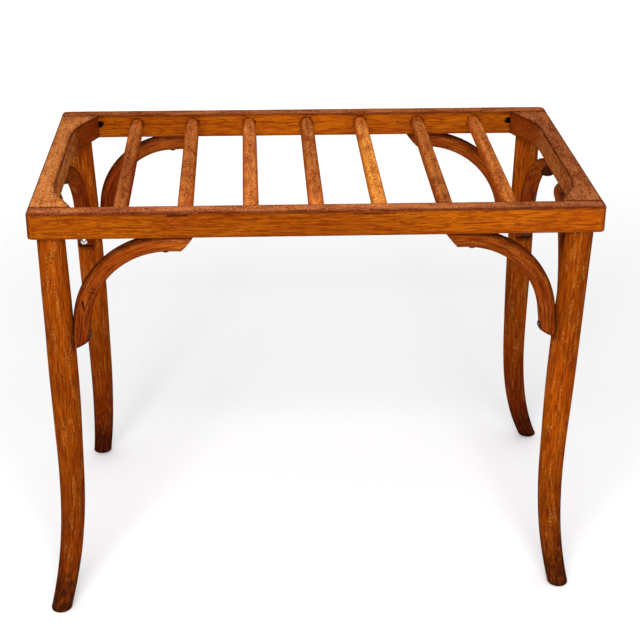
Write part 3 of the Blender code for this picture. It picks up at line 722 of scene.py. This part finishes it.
def build_long_rail(name, end, tones, top_tones):
    """tones are the wood's tones at the rail's left end, middle and right end. top_tones add to its top's."""
    bm = board(long_rail_outline(end), UNDERSIDE, RACK_HEIGHT)
    middle = (UNDERSIDE + RACK_HEIGHT) / 2

    def is_outer(place):
        return end * place.y > RAIL_INNER + SAME_PLACE

    for amount, steps, wanted in (
        (OUTER_EDGE_ROUNDING, OUTER_EDGE_STEPS, lambda place: is_outer(place) and place.z > middle),
        (LOWER_EDGE_ROUNDING, INNER_EDGE_STEPS, lambda place: is_outer(place) and place.z < middle),
        (INNER_EDGE_ROUNDING, INNER_EDGE_STEPS, lambda place: not is_outer(place)),
    ):
        round_edges(bm, amount, steps, wanted)
    bores = bmesh.new()
    add_spindle_mortises(bores, end)
    for corner in CORNERS.values():
        if corner.end == end:
            add_open_bore(bores, corner)
    bm = take_away(bm, bores)
    slice_across(bm, 0, np.arange(-HALF_LENGTH + BOARD_GRID, HALF_LENGTH, BOARD_GRID))
    slice_across(bm, 1, [end * (HALF_DEPTH - inset) for inset in LONG_RAIL_INSETS])
    slice_across(bm, 2, [RACK_HEIGHT - drop for drop in BOARD_DROPS])
    places = places_of(bm)
    x, y, z = places.T
    drop = RACK_HEIGHT - z
    outer, inner = np.abs(HALF_DEPTH - end * y), np.abs(end * y - RAIL_INNER)
    nearness = edge_nearness(z, outer, inner, 0.0042)
    seed = 3.0 + end
    upper = weather_board(bm, places, 0, nearness, seed, LONG_RAIL_RUB)
    rubbed = 0.60 + 0.40 * fade(end * y, RAIL_INNER + 0.010, HALF_DEPTH - 0.003)
    wear = nearness * np.where(upper > 0.5, rubbed, 0.45)
    wear = np.maximum(wear, 0.7 * fade(HALF_LENGTH - np.abs(x), 0.0060, 0.0010))
    patchy = 0.7 + 0.5 * ripple(places * (1, 0, 0), (34.0, 1.0, 1.0), seed + 9.0)
    band = edge_band(outer, drop, 0.0085) if end < 0 else edge_band(inner, drop, 0.005)
    wear = np.maximum(wear, np.clip(patchy, 0.0, 1.0) * band)
    grime = np.maximum(mouth_grime(places, end) + seam_grime(places), bore_painted_shade(places, end))
    spans = (-HALF_LENGTH, 0.0, HALF_LENGTH)
    tone = np.interp(x, spans, tones)
    tone += np.interp(x, spans, top_tones) * fade(drop, 0.0012, 0.0004)
    add_piece(name, bm, RAIL_WOOD, "rail_wood", places + (seed, 0.0, 0.0), wear=wear, grime=grime, tone=tone)


def mouth_grime(places, end):
    """Darker wood round the place where each spindle enters the rail."""
    x, y, z = places.T
    found = np.zeros(len(places))
    inner = fade(np.abs(y - end * RAIL_INNER), 0.0015, 0.0002)
    for index in range(len(SPINDLE_PLACES_FRONT)):
        mouth = spindle_ends(index)[1 if end > 0 else 0]
        away = np.hypot(x - mouth.x, z - mouth.z)
        found = np.maximum(found, fade(away, SPINDLE_NECK_RADIUS + 0.0035, SPINDLE_NECK_RADIUS) * inner)
    return 0.55 * found


def bore_painted_shade(places, end):
    """Painted shade: the inside of the open bores, painted near black."""
    x, y, z = places.T
    away = np.hypot(np.abs(x) - OPEN_BORE_PLACE, z - OPEN_BORE_HEIGHT)
    mouth = fade(np.abs(y - end * RAIL_INNER), 0.0150, 0.0145)
    return 1.6 * fade(away, OPEN_BORE_RADIUS + 0.0006, OPEN_BORE_RADIUS + 0.0002) * mouth


def seam_grime(places):
    """Dirt along the seam between the end rails and the long rails."""
    x, y, _ = np.abs(places).T
    along = fade(HALF_LENGTH - x, END_BLOCK_WIDTH + 0.004, END_BLOCK_WIDTH - 0.002)
    across = fade(np.abs(y - RAIL_INNER), 0.0020, 0.0003)
    return 0.45 * along * across


def end_rail_outline(side):
    stop = RAIL_INNER - SEAT_GAP
    block = HALF_LENGTH - END_BLOCK_WIDTH
    middle = HALF_LENGTH - END_RAIL_WIDTH
    hollow = RAIL_INNER - END_SWEEP_LENGTH
    handles = (
        (middle, hollow),
        (middle, hollow + SWEEP_HOLLOW_REACH),
        (block + SWEEP_SHOULDER_REACH * SWEEP_SHOULDER_SLOPE, RAIL_INNER - SWEEP_SHOULDER_REACH),
        (block, stop),
    )
    sweep = [bezier(handles, t) for t in np.linspace(0, 1, SWEEP_STEPS + 1)]
    inner = [(x, -y) for x, y in reversed(sweep)] + sweep
    points = [(HALF_LENGTH, -stop), (HALF_LENGTH, stop), *reversed(inner)]
    if side > 0:
        return points
    return [(-x, y) for x, y in reversed(points)]


def sweep_inset(y):
    """How far the end rail's swept inner side stands from the frame's outer side, at each y."""
    line = np.array(end_rail_outline(1)[2:])
    order = np.argsort(line[:, 1])
    return HALF_LENGTH - np.interp(y, line[order, 1], line[order, 0])


def build_end_rail(name, side, tones, top_tone, painted_sheen_share):
    """tones are the wood's tones at the rail's front end, middle and rear end. top_tone adds to its top's.

    The painted sheen share is how pale a painted sheen makes the inner side, from its middle to its front
    end.
    """
    bm = board(end_rail_outline(side), UNDERSIDE, RACK_HEIGHT)
    face = HALF_LENGTH - SAME_PLACE
    joint = RAIL_INNER - SEAT_GAP - SAME_PLACE
    round_edges(bm, OUTER_EDGE_ROUNDING, OUTER_EDGE_STEPS, lambda place: side * place.x > face)
    round_edges(
        bm,
        INNER_EDGE_ROUNDING,
        INNER_EDGE_STEPS,
        lambda place: side * place.x < face - OUTER_EDGE_ROUNDING and abs(place.y) < joint,
    )
    slice_across(bm, 1, np.arange(-RAIL_INNER + BOARD_GRID, RAIL_INNER - 0.001, BOARD_GRID))
    slice_across(bm, 0, [side * (HALF_LENGTH - inset) for inset in END_RAIL_INSETS])
    slice_across(bm, 2, [RACK_HEIGHT - drop for drop in BOARD_DROPS])
    places = places_of(bm)
    x, y, z = places.T
    drop = RACK_HEIGHT - z
    outer = HALF_LENGTH - side * x
    inner = np.abs(sweep_inset(y) - outer)
    nearness = edge_nearness(z, outer, inner, 0.0040)
    seed = 11.0 + side
    free = fade(RAIL_INNER - np.abs(y), 0.0, 0.003)
    upper = weather_board(bm, places, 1, nearness, seed, END_RAIL_RUB, free)
    wear = nearness * np.where(upper > 0.5, 0.95, 0.40)
    wear = np.maximum(wear, 0.75 * edge_band(inner, drop, 0.0045))
    tone = np.interp(y, (-RAIL_INNER, 0.0, RAIL_INNER), tones)
    tone += top_tone * fade(drop, 0.0012, 0.0004)
    # Painted sheen on the inner side, from its middle to its front end
    painted_sheen = painted_sheen_share * fade(inner, 0.0030, 0.0012) * fade(y, 0.145, 0.100)
    shares = {"wear": wear, "grime": seam_grime(places), "tone": tone, "painted_sheen": painted_sheen}
    add_piece(name, bm, END_RAIL_WOOD, "end_rail_wood", places[:, [1, 0, 2]] + (seed, 0.0, 0.0), **shares)


# Spindles


def spindle_radius(distance):
    """The radius at a distance from the spindle's middle."""
    swell = SPINDLE_RADIUS - SPINDLE_NECK_RADIUS
    start = fade(0.0, -0.15, 0.95)
    share = fade((RAIL_INNER - distance) / SPINDLE_NECK_LENGTH, -0.15, 0.95)
    return SPINDLE_NECK_RADIUS + swell * max((share - start) / (1 - start), 0.0)


def build_spindle(index, tones):
    """tones are the tones at the spindle's front end, middle and rear end, in places partly painted shade."""
    front, rear = spindle_ends(index)
    middle = (front + rear) / 2
    along = (rear - front).normalized()
    across = along.cross(Vector((0, 0, 1))).normalized()
    half = RAIL_INNER + SPINDLE_TENON_LENGTH
    steps = round(2 * half / SPINDLE_RING_STEP)
    distances = [-half, *np.linspace(-half + SPINDLE_CHAMFER, half - SPINDLE_CHAMFER, steps), half]
    rings, grain, wear = [], [], []
    seed = 21.0 + index
    for distance in distances:
        radius = spindle_radius(min(abs(distance), RAIL_INNER))
        if abs(distance) == half:
            radius -= SPINDLE_CHAMFER
        free = float(fade(RAIL_INNER - abs(distance), 0.002, 0.02))
        ring = []
        for turn in turns_round(SPINDLE_SIDES):
            x, z = math.cos(turn), math.sin(turn)
            local = radius - free * SPINDLE_WAVER * waver((distance * 12, x * 0.6 + seed, z * 0.6))
            ring.append(middle + along * distance + (across * x + Vector((0, 0, z))) * local)
            grain.append((distance + seed, x * local, z * local + index * 0.1))
            wear.append(0.35 * free * fade(z, 0.90, 1.0))
        rings.append(ring)
    distances = np.repeat(distances, SPINDLE_SIDES)
    shares = {
        "wear": wear,
        # Darker towards the rails
        "grime": 0.6 * fade(RAIL_INNER - np.abs(distances), 0.006, 0.0),
        "tone": np.interp(distances, (0.04 - RAIL_INNER, 0.0, RAIL_INNER - 0.04), tones),
        "fresh": 0.60 * fade(RAIL_INNER - distances, 0.060, 0.010),
    }
    add_piece(f"spindle_{index + 1}", loft(rings), SPINDLE_WOOD, "spindle_wood", grain, **shares)


# Legs

# Where the low, middle and high tones of a leg are
LEG_TONE_HEIGHTS = (0.12, 0.30, 0.48)


def leg_share(z):
    return (UNDERSIDE - z) / UNDERSIDE


def leg_centre(corner, z):
    share = leg_share(z)
    bow = smooth_through(LEG_BOW, share)
    spread = (max(share - FLARE_START, 0.0) / (1 - FLARE_START)) ** FLARE_POWER
    x = HALF_LENGTH - corner.inset - bow + spread * corner.flare[0]
    y = HALF_DEPTH - LEG_INSET_Y - bow * LEG_BOW_DEPTH_RATIO + spread * corner.flare[1]
    return Vector((corner.side * x + corner.lean[0] * share, corner.end * y + corner.lean[1] * share, z))


def leg_radius(z):
    return smooth_through(LEG_DIAMETER, leg_share(z)) / 2


def darker_round_bracket_end(bracket, places):
    """Darker wood on a leg round the end of a bracket that lies against it."""
    away = places - np.array(bracket.face)
    below = UNDERSIDE - bracket.drop - places[:, 2]
    beside = fade(np.abs(away @ np.array(bracket.across)), 0.0165, 0.0110)
    facing = fade(away @ np.array(bracket.along), -0.014, -0.008)
    return 0.42 * beside * facing * fade(below, -0.050, -0.030) * fade(below, 0.009, 0.002)


def build_leg(corner_name, corner, tones):
    """Rings square to the upright, as the leg is bent only slightly from it.

    tones are the tones high on the leg, at its middle and low on it; on the rear legs they are partly painted
    light and shade.
    """
    shoulder = UNDERSIDE - SEAT_GAP
    seed = 31.0 + 2 * corner.side + corner.end
    steps = round(shoulder / LEG_RING_STEP)
    heights = [shoulder + LEG_TENON_LENGTH, shoulder, shoulder]
    widths = [LEG_TENON_RADIUS, LEG_TENON_RADIUS, None]
    heights += list(np.linspace(shoulder - LEG_RING_STEP, FOOT_ROUNDING + 0.002, steps - 2))
    widths += [None] * (steps - 2)
    for turn in np.linspace(0, math.pi / 2, 6):
        heights.append(FOOT_ROUNDING * (1 - math.sin(turn)))
        widths.append(leg_radius(heights[-1]) - FOOT_ROUNDING * (1 - math.cos(turn)))
    rings, grain = [], []
    for z, width in zip(heights, widths):
        centre = leg_centre(corner, min(z, shoulder))
        centre.z = z
        radius = width if width else leg_radius(z)
        uneven = 0.0 if width else LEG_WAVER * float(fade(shoulder - z, 0.0, 0.01))
        ring = []
        for turn in turns_round(LEG_SIDES):
            x, y = math.cos(turn), math.sin(turn)
            local = radius - uneven * waver((x * 1.3 + seed, y * 1.3, z * 14))
            ring.append(centre + Vector((x, y, 0)) * local)
            grain.append((z + seed, x * local, y * local))
        rings.append(ring)
    bm = loft(rings)
    places = places_of(bm)
    z = places[:, 2]
    # Darker towards the feet and round the bracket ends
    darkening = 0.20 * fade(z, 0.20, 0.05) + 0.34 * fade(z, 0.095, 0.030) + 0.3 * fade(z, 0.007, 0.001)
    for is_long in (True, False):
        darkening = np.maximum(darkening, darker_round_bracket_end(Bracket(corner, is_long), places))
    grime = darkening + 0.4 * fade(shoulder - z, 0.004, 0.0)
    tone = np.interp(z, LEG_TONE_HEIGHTS, tones[::-1])
    add_piece(corner_name + "_leg", bm, LEG_WOOD, "leg_wood", grain, grime=grime, tone=tone)


# Brackets


class Bracket:
    """A quarter-round rod in the upright plane through its leg's axis and its place under the rail.

    In that plane u is the distance from the leg's face and w the distance below the rails.
    """

    def __init__(self, corner, is_long):
        self.corner = corner
        self.reach = corner.long_bracket_reach if is_long else SHORT_BRACKET_REACH
        self.drop = corner.long_bracket_drop if is_long else SHORT_BRACKET_DROP
        self.bend = corner.long_bend_radius if is_long else SHORT_BEND_RADIUS
        foot = UNDERSIDE - self.drop + BRACKET_RADIUS
        centre = leg_centre(corner, foot)
        leg = leg_radius(foot)
        target = centre.copy()
        if is_long:
            target.x -= corner.side * (leg + self.reach)
            target.y = corner.end * (HALF_DEPTH - RAIL_THICKNESS / 2)
        else:
            inset = LEFT_SHORT_BRACKET_INSET if corner.side < 0 else RIGHT_SHORT_BRACKET_INSET
            target.x = corner.side * (HALF_LENGTH - inset)
            target.y -= corner.end * (leg + self.reach)
        self.along = (target - centre).normalized()
        self.across = self.along.cross(Vector((0, 0, 1)))
        self.face = centre + self.along * (leg + SEAT_GAP)
        self.rail_w = BRACKET_RADIUS - BRACKET_RAIL_FLAT
        self.foot_u = BRACKET_RADIUS - BRACKET_LEG_FLAT
        turn_w = self.rail_w + self.bend * (1 - math.cos(BRACKET_TURN))
        turn_u = self.foot_u + (self.drop - turn_w) / math.tan(BRACKET_TURN)
        self.bend_u = turn_u + self.bend * math.sin(BRACKET_TURN)

    def point(self, u, w):
        place = self.face + self.along * u
        place.z = UNDERSIDE - w
        return place

    def direction(self, u, w):
        return self.along * u + Vector((0, 0, -w))

    def stations(self):
        """(u, w, turn) along the centreline, where turn is the angle the rod has bent through."""
        bend_w = self.rail_w + self.bend
        over = self.reach + TRIM_ALLOWANCE
        level = np.linspace(over, self.bend_u, max(round((over - self.bend_u) / BRACKET_RING_STEP), 1) + 1)
        found = [(u, self.rail_w, 0.0) for u in level[:-1]]
        for turn in np.linspace(0, BRACKET_TURN, round(self.bend * BRACKET_TURN / BRACKET_RING_STEP) + 1):
            u = self.bend_u - self.bend * math.sin(turn)
            found.append((u, bend_w - self.bend * math.cos(turn), turn))
        last_u, last_w, _ = found[-1]
        run = self.drop + TRIM_ALLOWANCE - last_w
        for share in np.linspace(0, 1, max(round(run / BRACKET_RING_STEP), 1) + 1)[1:]:
            found.append((last_u - share * run / math.tan(BRACKET_TURN), last_w + share * run, BRACKET_TURN))
        return found

    def leg_screw(self):
        w = self.drop - LEG_SCREW_FROM_TIP
        centre_u = self.foot_u + LEG_SCREW_FROM_TIP / math.tan(BRACKET_TURN)
        u = centre_u + BRACKET_RADIUS / math.sin(BRACKET_TURN) - SCREW_SEAT_DEPTH
        return self.point(u, w), self.direction(-1, 0)

    def rail_screw(self):
        u = self.reach - RAIL_SCREW_FROM_TIP
        turn = math.asin(max(self.bend_u - u, 0.0) / self.bend)
        centre_w = self.rail_w + self.bend * (1 - math.cos(turn))
        w = centre_w + BRACKET_RADIUS / math.cos(turn) - SCREW_SEAT_DEPTH
        return self.point(u, w), self.direction(0, -1)

    def leg_face_normal(self):
        low = UNDERSIDE - self.drop
        high = low + 2 * BRACKET_RADIUS
        run = leg_centre(self.corner, high) - leg_centre(self.corner, low)
        run += self.along * (leg_radius(high) - leg_radius(low))
        normal = run.cross(self.along).cross(run).normalized()
        return -normal if normal.dot(self.along) > 0 else normal

    def wood(self, place):
        """A place's distance along the rod, out from its centreline and sideways."""
        away = place - self.face
        bend_w = self.rail_w + self.bend
        u, w = away.dot(self.along), UNDERSIDE - place.z
        turn = min(max(math.atan2(self.bend_u - u, bend_w - w), 0.0), BRACKET_TURN)
        short = self.bend_u - self.bend * math.sin(turn) - u
        down = w - bend_w + self.bend * math.cos(turn)
        along = self.bend * turn + short * math.cos(turn) + down * math.sin(turn)
        return along, short * math.sin(turn) - down * math.cos(turn), away.dot(self.across)


def build_bracket(name, bracket, seed, tones, rail_end_dirt):
    """tones are the wood's tones at the rail end and the leg end."""
    rings = []
    for u, w, bent in bracket.stations():
        centre = bracket.point(u, w)
        out = bracket.direction(-math.sin(bent), -math.cos(bent))
        ring = []
        for turn in turns_round(BRACKET_SIDES):
            x, y = math.cos(turn), math.sin(turn)
            local = BRACKET_RADIUS - BRACKET_WAVER * waver((x + seed, y, (u - w) * 16))
            ring.append(centre + (out * x + bracket.across * y) * local)
        rings.append(ring)
    bm = loft(rings)
    leg_tip, rail_tip = bracket.point(0, bracket.drop), bracket.point(bracket.reach, 0)
    lower = bracket.direction(math.sin(BRACKET_LOWER_BEVEL), math.cos(BRACKET_LOWER_BEVEL))
    upper = bracket.direction(math.sin(BRACKET_UPPER_BEVEL), math.cos(BRACKET_UPPER_BEVEL))
    floor = UNDERSIDE - bracket.bend / 2
    trim(bm, bracket.point(0, SEAT_GAP), Vector((0, 0, 1)))
    trim(bm, bracket.face, bracket.leg_face_normal())
    trim(bm, leg_tip, lower)
    trim(bm, rail_tip, upper, lambda place: place.z > floor)
    sawn = [edge for edge in bm.edges if edge.calc_face_angle(0) > math.radians(30)]
    rounding = {"offset": SAWN_EDGE_ROUNDING, "segments": 2, "profile": 0.5, "clamp_overlap": True}
    bmesh.ops.bevel(bm, geom=sawn, affect="EDGES", **rounding)
    bores = bmesh.new()
    screws = (bracket.leg_screw(), bracket.rail_screw())
    for seat, along in screws:
        add_bore(bores, seat, seat - along * BRACKET_RADIUS, SCREW_HEAD_RADIUS + BORE_GAP)
        add_bore(bores, seat - along * SEAT_GAP, seat + along * SCREW_LENGTH, SCREW_SHANK_RADIUS + BORE_GAP)
    bm = take_away(bm, bores)
    bmesh.ops.triangulate(bm, faces=[face for face in bm.faces if len(face.verts) > 4])
    places = places_of(bm)
    wood = np.array([bracket.wood(Vector(place)) for place in places])
    total, start = bracket.wood(leg_tip)[0], bracket.wood(rail_tip)[0]
    # Painted shade: the convex upper side of the bend is darkened
    convex = fade(wood[:, 1], 0.35 * BRACKET_RADIUS, BRACKET_RADIUS)
    bend = fade(wood[:, 0], start + 0.02, start + 0.07) * fade(wood[:, 0], total, total - 0.05)
    grime = 0.45 * convex * bend
    for seat, along in screws:
        away = places - np.array(seat)
        off_axis = np.linalg.norm(away - np.outer(away @ np.array(along), np.array(along)), axis=1)
        grime = np.maximum(grime, 0.6 * fade(off_axis, SCREW_HEAD_RADIUS + 0.0035, SCREW_HEAD_RADIUS))
    # Darker sawn ends
    for tip, outward, darkening in (
        (leg_tip, lower, 0.95),
        (rail_tip, upper, rail_end_dirt * (places[:, 2] > floor)),
    ):
        off_cut = np.abs((places - np.array(tip)) @ np.array(outward))
        grime = np.maximum(grime, darkening * fade(off_cut, 0.0014, 0.0004))
    tone = tones[0] + (tones[1] - tones[0]) * fade(wood[:, 0], start, total)
    add_piece(name, bm, BRACKET_WOOD, "bracket_wood", wood + (seed, 0.0, 0.0), grime=grime, tone=tone)


# Screws


def screw_mesh():
    """A round-headed wood screw, its head on +Z and the head's underside at the origin."""
    profile = [(SCREW_CROWN_RADIUS, SCREW_HEAD_TOP)]
    for turn in np.linspace(math.pi / 2, 0, 9)[1:]:
        profile.append((SCREW_HEAD_RADIUS * math.cos(turn), SEAT_GAP + SCREW_HEAD_HEIGHT * math.sin(turn)))
    profile += [(SCREW_SHANK_RADIUS, SEAT_GAP), (SCREW_SHANK_RADIUS, SCREW_POINT_LENGTH - SCREW_LENGTH)]
    profile.append((SCREW_POINT_RADIUS, -SCREW_LENGTH))
    turns = turns_round(SCREW_SIDES)
    bm = loft([[Vector((r * math.cos(a), r * math.sin(a), z)) for a in turns] for r, z in profile])
    slot = bmesh.new()
    bmesh.ops.create_cube(slot, size=1.0)
    size = (SCREW_SLOT_WIDTH, 2 * (SCREW_HEAD_RADIUS + BORE_GAP), 2 * SCREW_SLOT_DEPTH)
    bmesh.ops.scale(slot, vec=size, verts=slot.verts)
    bmesh.ops.translate(slot, vec=(0, 0, SCREW_HEAD_TOP), verts=slot.verts)
    bm = take_away(bm, slot)
    sharp = [edge for edge in bm.edges if edge.calc_face_angle(0) > math.radians(50)]
    rim = [edge for edge in sharp if edge.verts[0].co.z > 0.001]
    bmesh.ops.bevel(bm, geom=rim, offset=SLOT_RIM_ROUNDING, segments=1, profile=0.5, affect="EDGES")
    return bm


def build_screw(name, seat, along, turned, tarnish):
    bm = screw_mesh()
    places = places_of(bm)
    in_slot = fade(np.abs(places[:, 0]), SCREW_SLOT_WIDTH * 0.56, SCREW_SLOT_WIDTH * 0.49)
    low = fade(places[:, 2], SEAT_GAP + SCREW_HEAD_HEIGHT * 0.35, SEAT_GAP)
    grime = np.maximum(0.9 * in_slot, 0.7 * low) + tarnish
    turn = (-along).to_track_quat("Z", "Y").to_matrix().to_4x4() @ Matrix.Rotation(turned, 4, "Z")
    bmesh.ops.transform(bm, matrix=Matrix.Translation(seat) @ turn, verts=bm.verts)
    add_piece(name, bm, STEEL, "screw_steel", places, grime=grime)


# Assembly

# Dents and scratches on the front rail, whose grain starts at 2, and the rear rail, whose grain starts at 4
RAIL_MARKS = (
    ((2.046, None, 0.5866), (2.099, None, 0.5868), 0.0010, 0.9),
    ((2.030, None, 0.5860), (2.050, None, 0.5858), 0.0008, 0.5),
    ((1.671, None, 0.5868), (1.672, None, 0.5770), 0.0006, 0.7),
    ((1.650, None, 0.5830), (1.668, None, 0.5826), 0.0006, 0.5),
    ((1.806, None, 0.5720), (1.822, None, 0.5850), 0.0006, 0.5),
    ((1.810, None, 0.5876), (1.834, None, 0.5876), 0.0020, 0.8),
    ((2.248, None, 0.5740), (2.262, None, 0.5810), 0.0006, 0.6),
    ((2.262, None, 0.5810), (2.284, None, 0.5862), 0.0006, 0.6),
    ((2.276, None, 0.5790), (2.290, None, 0.5770), 0.0006, 0.4),
    ((2.359, None, 0.5700), (2.3592, None, 0.5702), 0.0013, 0.9),
    ((4.142, None, 0.5760), (4.1425, None, 0.5762), 0.0016, 0.8),
    ((3.711, None, 0.5880), (3.712, None, 0.5570), 0.0005, 0.5),
)

# A nick and creases on the front left long bracket, whose grain starts at 42
BRACKET_MARKS = (
    ((42.1500, 0.0036, None), (42.1570, 0.0006, None), 0.0022, 1.0),
    ((42.1550, 0.0012, None), (42.1610, -0.0016, None), 0.0013, 0.9),
    ((42.1257, 0.0011, None), (42.1268, -0.0050, None), 0.0012, 0.8),
    ((42.1297, 0.0008, None), (42.1310, -0.0056, None), 0.0008, 0.6),
    ((42.1334, 0.0005, None), (42.1338, -0.0060, None), 0.0012, 0.8),
)
RAIL_WOOD = wood_material("rail_shellac", RAIL_FINISH, 1.0, RAIL_MARKS)
END_RAIL_WOOD = wood_material("end_rail_shellac", END_RAIL_FINISH, 2.0)
SPINDLE_WOOD = wood_material("spindle_shellac", SPINDLE_FINISH, 3.0)
LEG_WOOD = wood_material("leg_shellac", LEG_FINISH, 4.0)
BRACKET_WOOD = wood_material("bracket_shellac", BRACKET_FINISH, 5.0, BRACKET_MARKS)
STEEL = steel_material()

build_long_rail("front_rail", -1, (0.02, -0.11, 0.28), (0.08, 0.42, -0.46))
build_long_rail("rear_rail", 1, (-0.06, 0.20, -0.06), (-0.10, -0.10, -0.02))
build_end_rail("left_end_rail", -1, (0.22, 0.10, 0.02), 0.04, 0.80)
build_end_rail("right_end_rail", 1, (0.10, 0.08, 0.08), -0.36, 0.60)
# The first spindle's dark middle is partly painted shade
SPINDLE_TONES_AND_PAINTED_SHADE = (
    (-0.12, -0.34, 0.26),
    (0.50, -0.04, 0.28),
    (0.44, 0.34, 0.40),
    (0.46, 0.04, 0.16),
    (0.88, 0.98, 0.56),
    (-0.12, 0.10, 0.04),
    (0.26, 0.10, 0.30),
)
for index in range(len(SPINDLE_PLACES_FRONT)):
    build_spindle(index, SPINDLE_TONES_AND_PAINTED_SHADE[index])
# On the rear legs the high tones are painted light, lifting the shade under the rails, and the low tones
# partly painted shade
LEG_TONES_AND_PAINTED_LIGHT = {
    "front_left": (0.06, -0.08, -0.14),
    "front_right": (-0.02, 0.36, -0.12),
    "rear_left": (0.44, 0.20, -0.36),
    "rear_right": (0.20, 0.0, -0.36),
}
BRACKET_TONES = {
    "front_left": (0.20, -0.24),
    "front_right": (-0.10, -0.14),
    "rear_left": (-0.05, -0.32),
    "rear_right": (-0.08, -0.34),
}
BRIGHT_SCREW = "rear_left_short_bracket_leg_screw"
TARNISH = 0.95
DIRTY_BRACKET = "rear_right_short_bracket"
for place, (corner_name, corner) in enumerate(CORNERS.items()):
    build_leg(corner_name, corner, LEG_TONES_AND_PAINTED_LIGHT[corner_name])
    for kind in ("long", "short"):
        bracket = Bracket(corner, kind == "long")
        name = f"{corner_name}_{kind}_bracket"
        seed = 41.0 + 2 * place + (kind == "long")
        leg_screw, rail_screw = f"{name}_leg_screw", f"{name}_rail_screw"
        tarnish = 0.0 if leg_screw == BRIGHT_SCREW else TARNISH
        rail_end_dirt = 0.9 if name == DIRTY_BRACKET else 0.4
        build_bracket(name, bracket, seed, BRACKET_TONES[corner_name], rail_end_dirt)
        build_screw(leg_screw, *bracket.leg_screw(), 0.3 * math.sin(seed), tarnish)
        build_screw(rail_screw, *bracket.rail_screw(), 0.9 * math.sin(seed * 2), TARNISH)


def dowel_material():
    s = Shading("dowel_beech")
    place = s.add("TexCoord").outputs["Object"]
    streaks = s.noise(place, (900.0, 30.0, 900.0), 3.0, 0.6)
    colour = s.mix(s.remap(streaks, 0.35, 0.65), rgb(168, 120, 76), rgb(204, 158, 110))
    s.put(s.shader.inputs["Base Color"], colour)
    s.put(s.shader.inputs["Roughness"], s.remap(streaks, 0.3, 0.7, 0.55, 0.68))
    s.put(s.shader.inputs["Normal"], s.bump(streaks, 0.0001))
    return s.material


DOWEL_WOOD = dowel_material()
for corner_name in CORNERS:
    for place in ("outer", "inner"):
        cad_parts[f"{corner_name}_{place}_dowel"].material_slots[0].material = DOWEL_WOOD


# Stage


def build_floor():
    bm = bmesh.new()
    bmesh.ops.create_grid(bm, x_segments=2, y_segments=2, size=30.0)
    mesh = bpy.data.meshes.new("floor")
    bm.to_mesh(mesh)
    bm.free()
    s = Shading("floor_pale")
    s.shader.inputs["Base Color"].default_value = (0.90, 0.90, 0.90, 1.0)
    s.shader.inputs["Roughness"].default_value = 0.9
    s.shader.inputs["Specular IOR Level"].default_value = 0.1
    mesh.materials.append(s.material)
    floor = bpy.data.objects.new("floor", mesh)
    floor.location.z = -0.0002
    bpy.context.scene.collection.objects.link(floor)


def add_softbox(name, place, aim, size, power, spread=math.pi):
    light = bpy.data.lights.new(name, "AREA")
    light.shape = "RECTANGLE"
    light.size, light.size_y = size
    light.energy = power
    light.spread = spread
    lamp = bpy.data.objects.new(name, light)
    lamp.location = place
    lamp.rotation_mode = "QUATERNION"
    lamp.rotation_quaternion = (Vector(aim) - Vector(place)).to_track_quat("-Z", "Y")
    bpy.context.scene.collection.objects.link(lamp)


def build_light():
    """A white sky that darkens towards the horizon, a large soft box in front of the rack and one over the
    floor behind it.
    """
    world = bpy.data.worlds.new("studio")
    bpy.context.scene.world = world
    world.use_nodes = True
    nodes, links = world.node_tree.nodes, world.node_tree.links
    place = nodes.new("ShaderNodeTexCoord")
    parts = nodes.new("ShaderNodeSeparateXYZ")
    links.new(place.outputs["Generated"], parts.inputs[0])
    rise = nodes.new("ShaderNodeMapRange")
    rise.interpolation_type = "SMOOTHSTEP"
    for key, value in (("From Min", 0.0), ("From Max", 0.7), ("To Min", 0.10), ("To Max", 0.85)):
        rise.inputs[key].default_value = value
    links.new(parts.outputs["Z"], rise.inputs["Value"])
    background = nodes["Background"]
    background.inputs["Color"].default_value = (1.0, 1.0, 1.0, 1.0)
    links.new(rise.outputs[0], background.inputs["Strength"])
    add_softbox("key_box", (-0.25, -2.4, 2.0), (0.0, -0.1, 0.45), (1.8, 1.2), 80.0)
    add_softbox("floor_box", (0.0, 4.2, 3.2), (0.0, 4.2, 0.0), (4.0, 3.0), 60.0, math.radians(100.0))


# Camera: where the photograph was taken from, worked out from the frame's corners and the feet
CAMERA_PLACE = (-0.08565, -1.98095, 0.65951 + RACK_HEIGHT)
CAMERA_TILT = math.radians(24.793)
CAMERA_ROLL = math.radians(-2.597)
CAMERA_SWING = math.radians(-0.948)
CAMERA_LENS = 83.23
CAMERA_SENSOR = 36.0


def build_camera():
    camera = bpy.data.cameras.new("photograph")
    camera.sensor_width = CAMERA_SENSOR
    camera.lens = CAMERA_LENS
    camera.clip_end = 100.0
    viewer = bpy.data.objects.new("photograph", camera)
    turn = Matrix.Rotation(CAMERA_SWING, 3, "Z") @ Matrix.Rotation(CAMERA_ROLL, 3, "Y")
    turn = turn @ Matrix.Rotation(CAMERA_TILT, 3, "X") @ Matrix(((1, 0, 0), (0, 0, -1), (0, 1, 0)))
    place = (turn.transposed() @ Matrix.Diagonal((1, -1, -1))).to_4x4()
    place.translation = Vector(CAMERA_PLACE) + HOME
    viewer.matrix_world = place
    bpy.context.scene.collection.objects.link(viewer)
    bpy.context.scene.camera = viewer


build_floor()
build_light()
build_camera()
bpy.context.scene.view_settings.view_transform = "Standard"
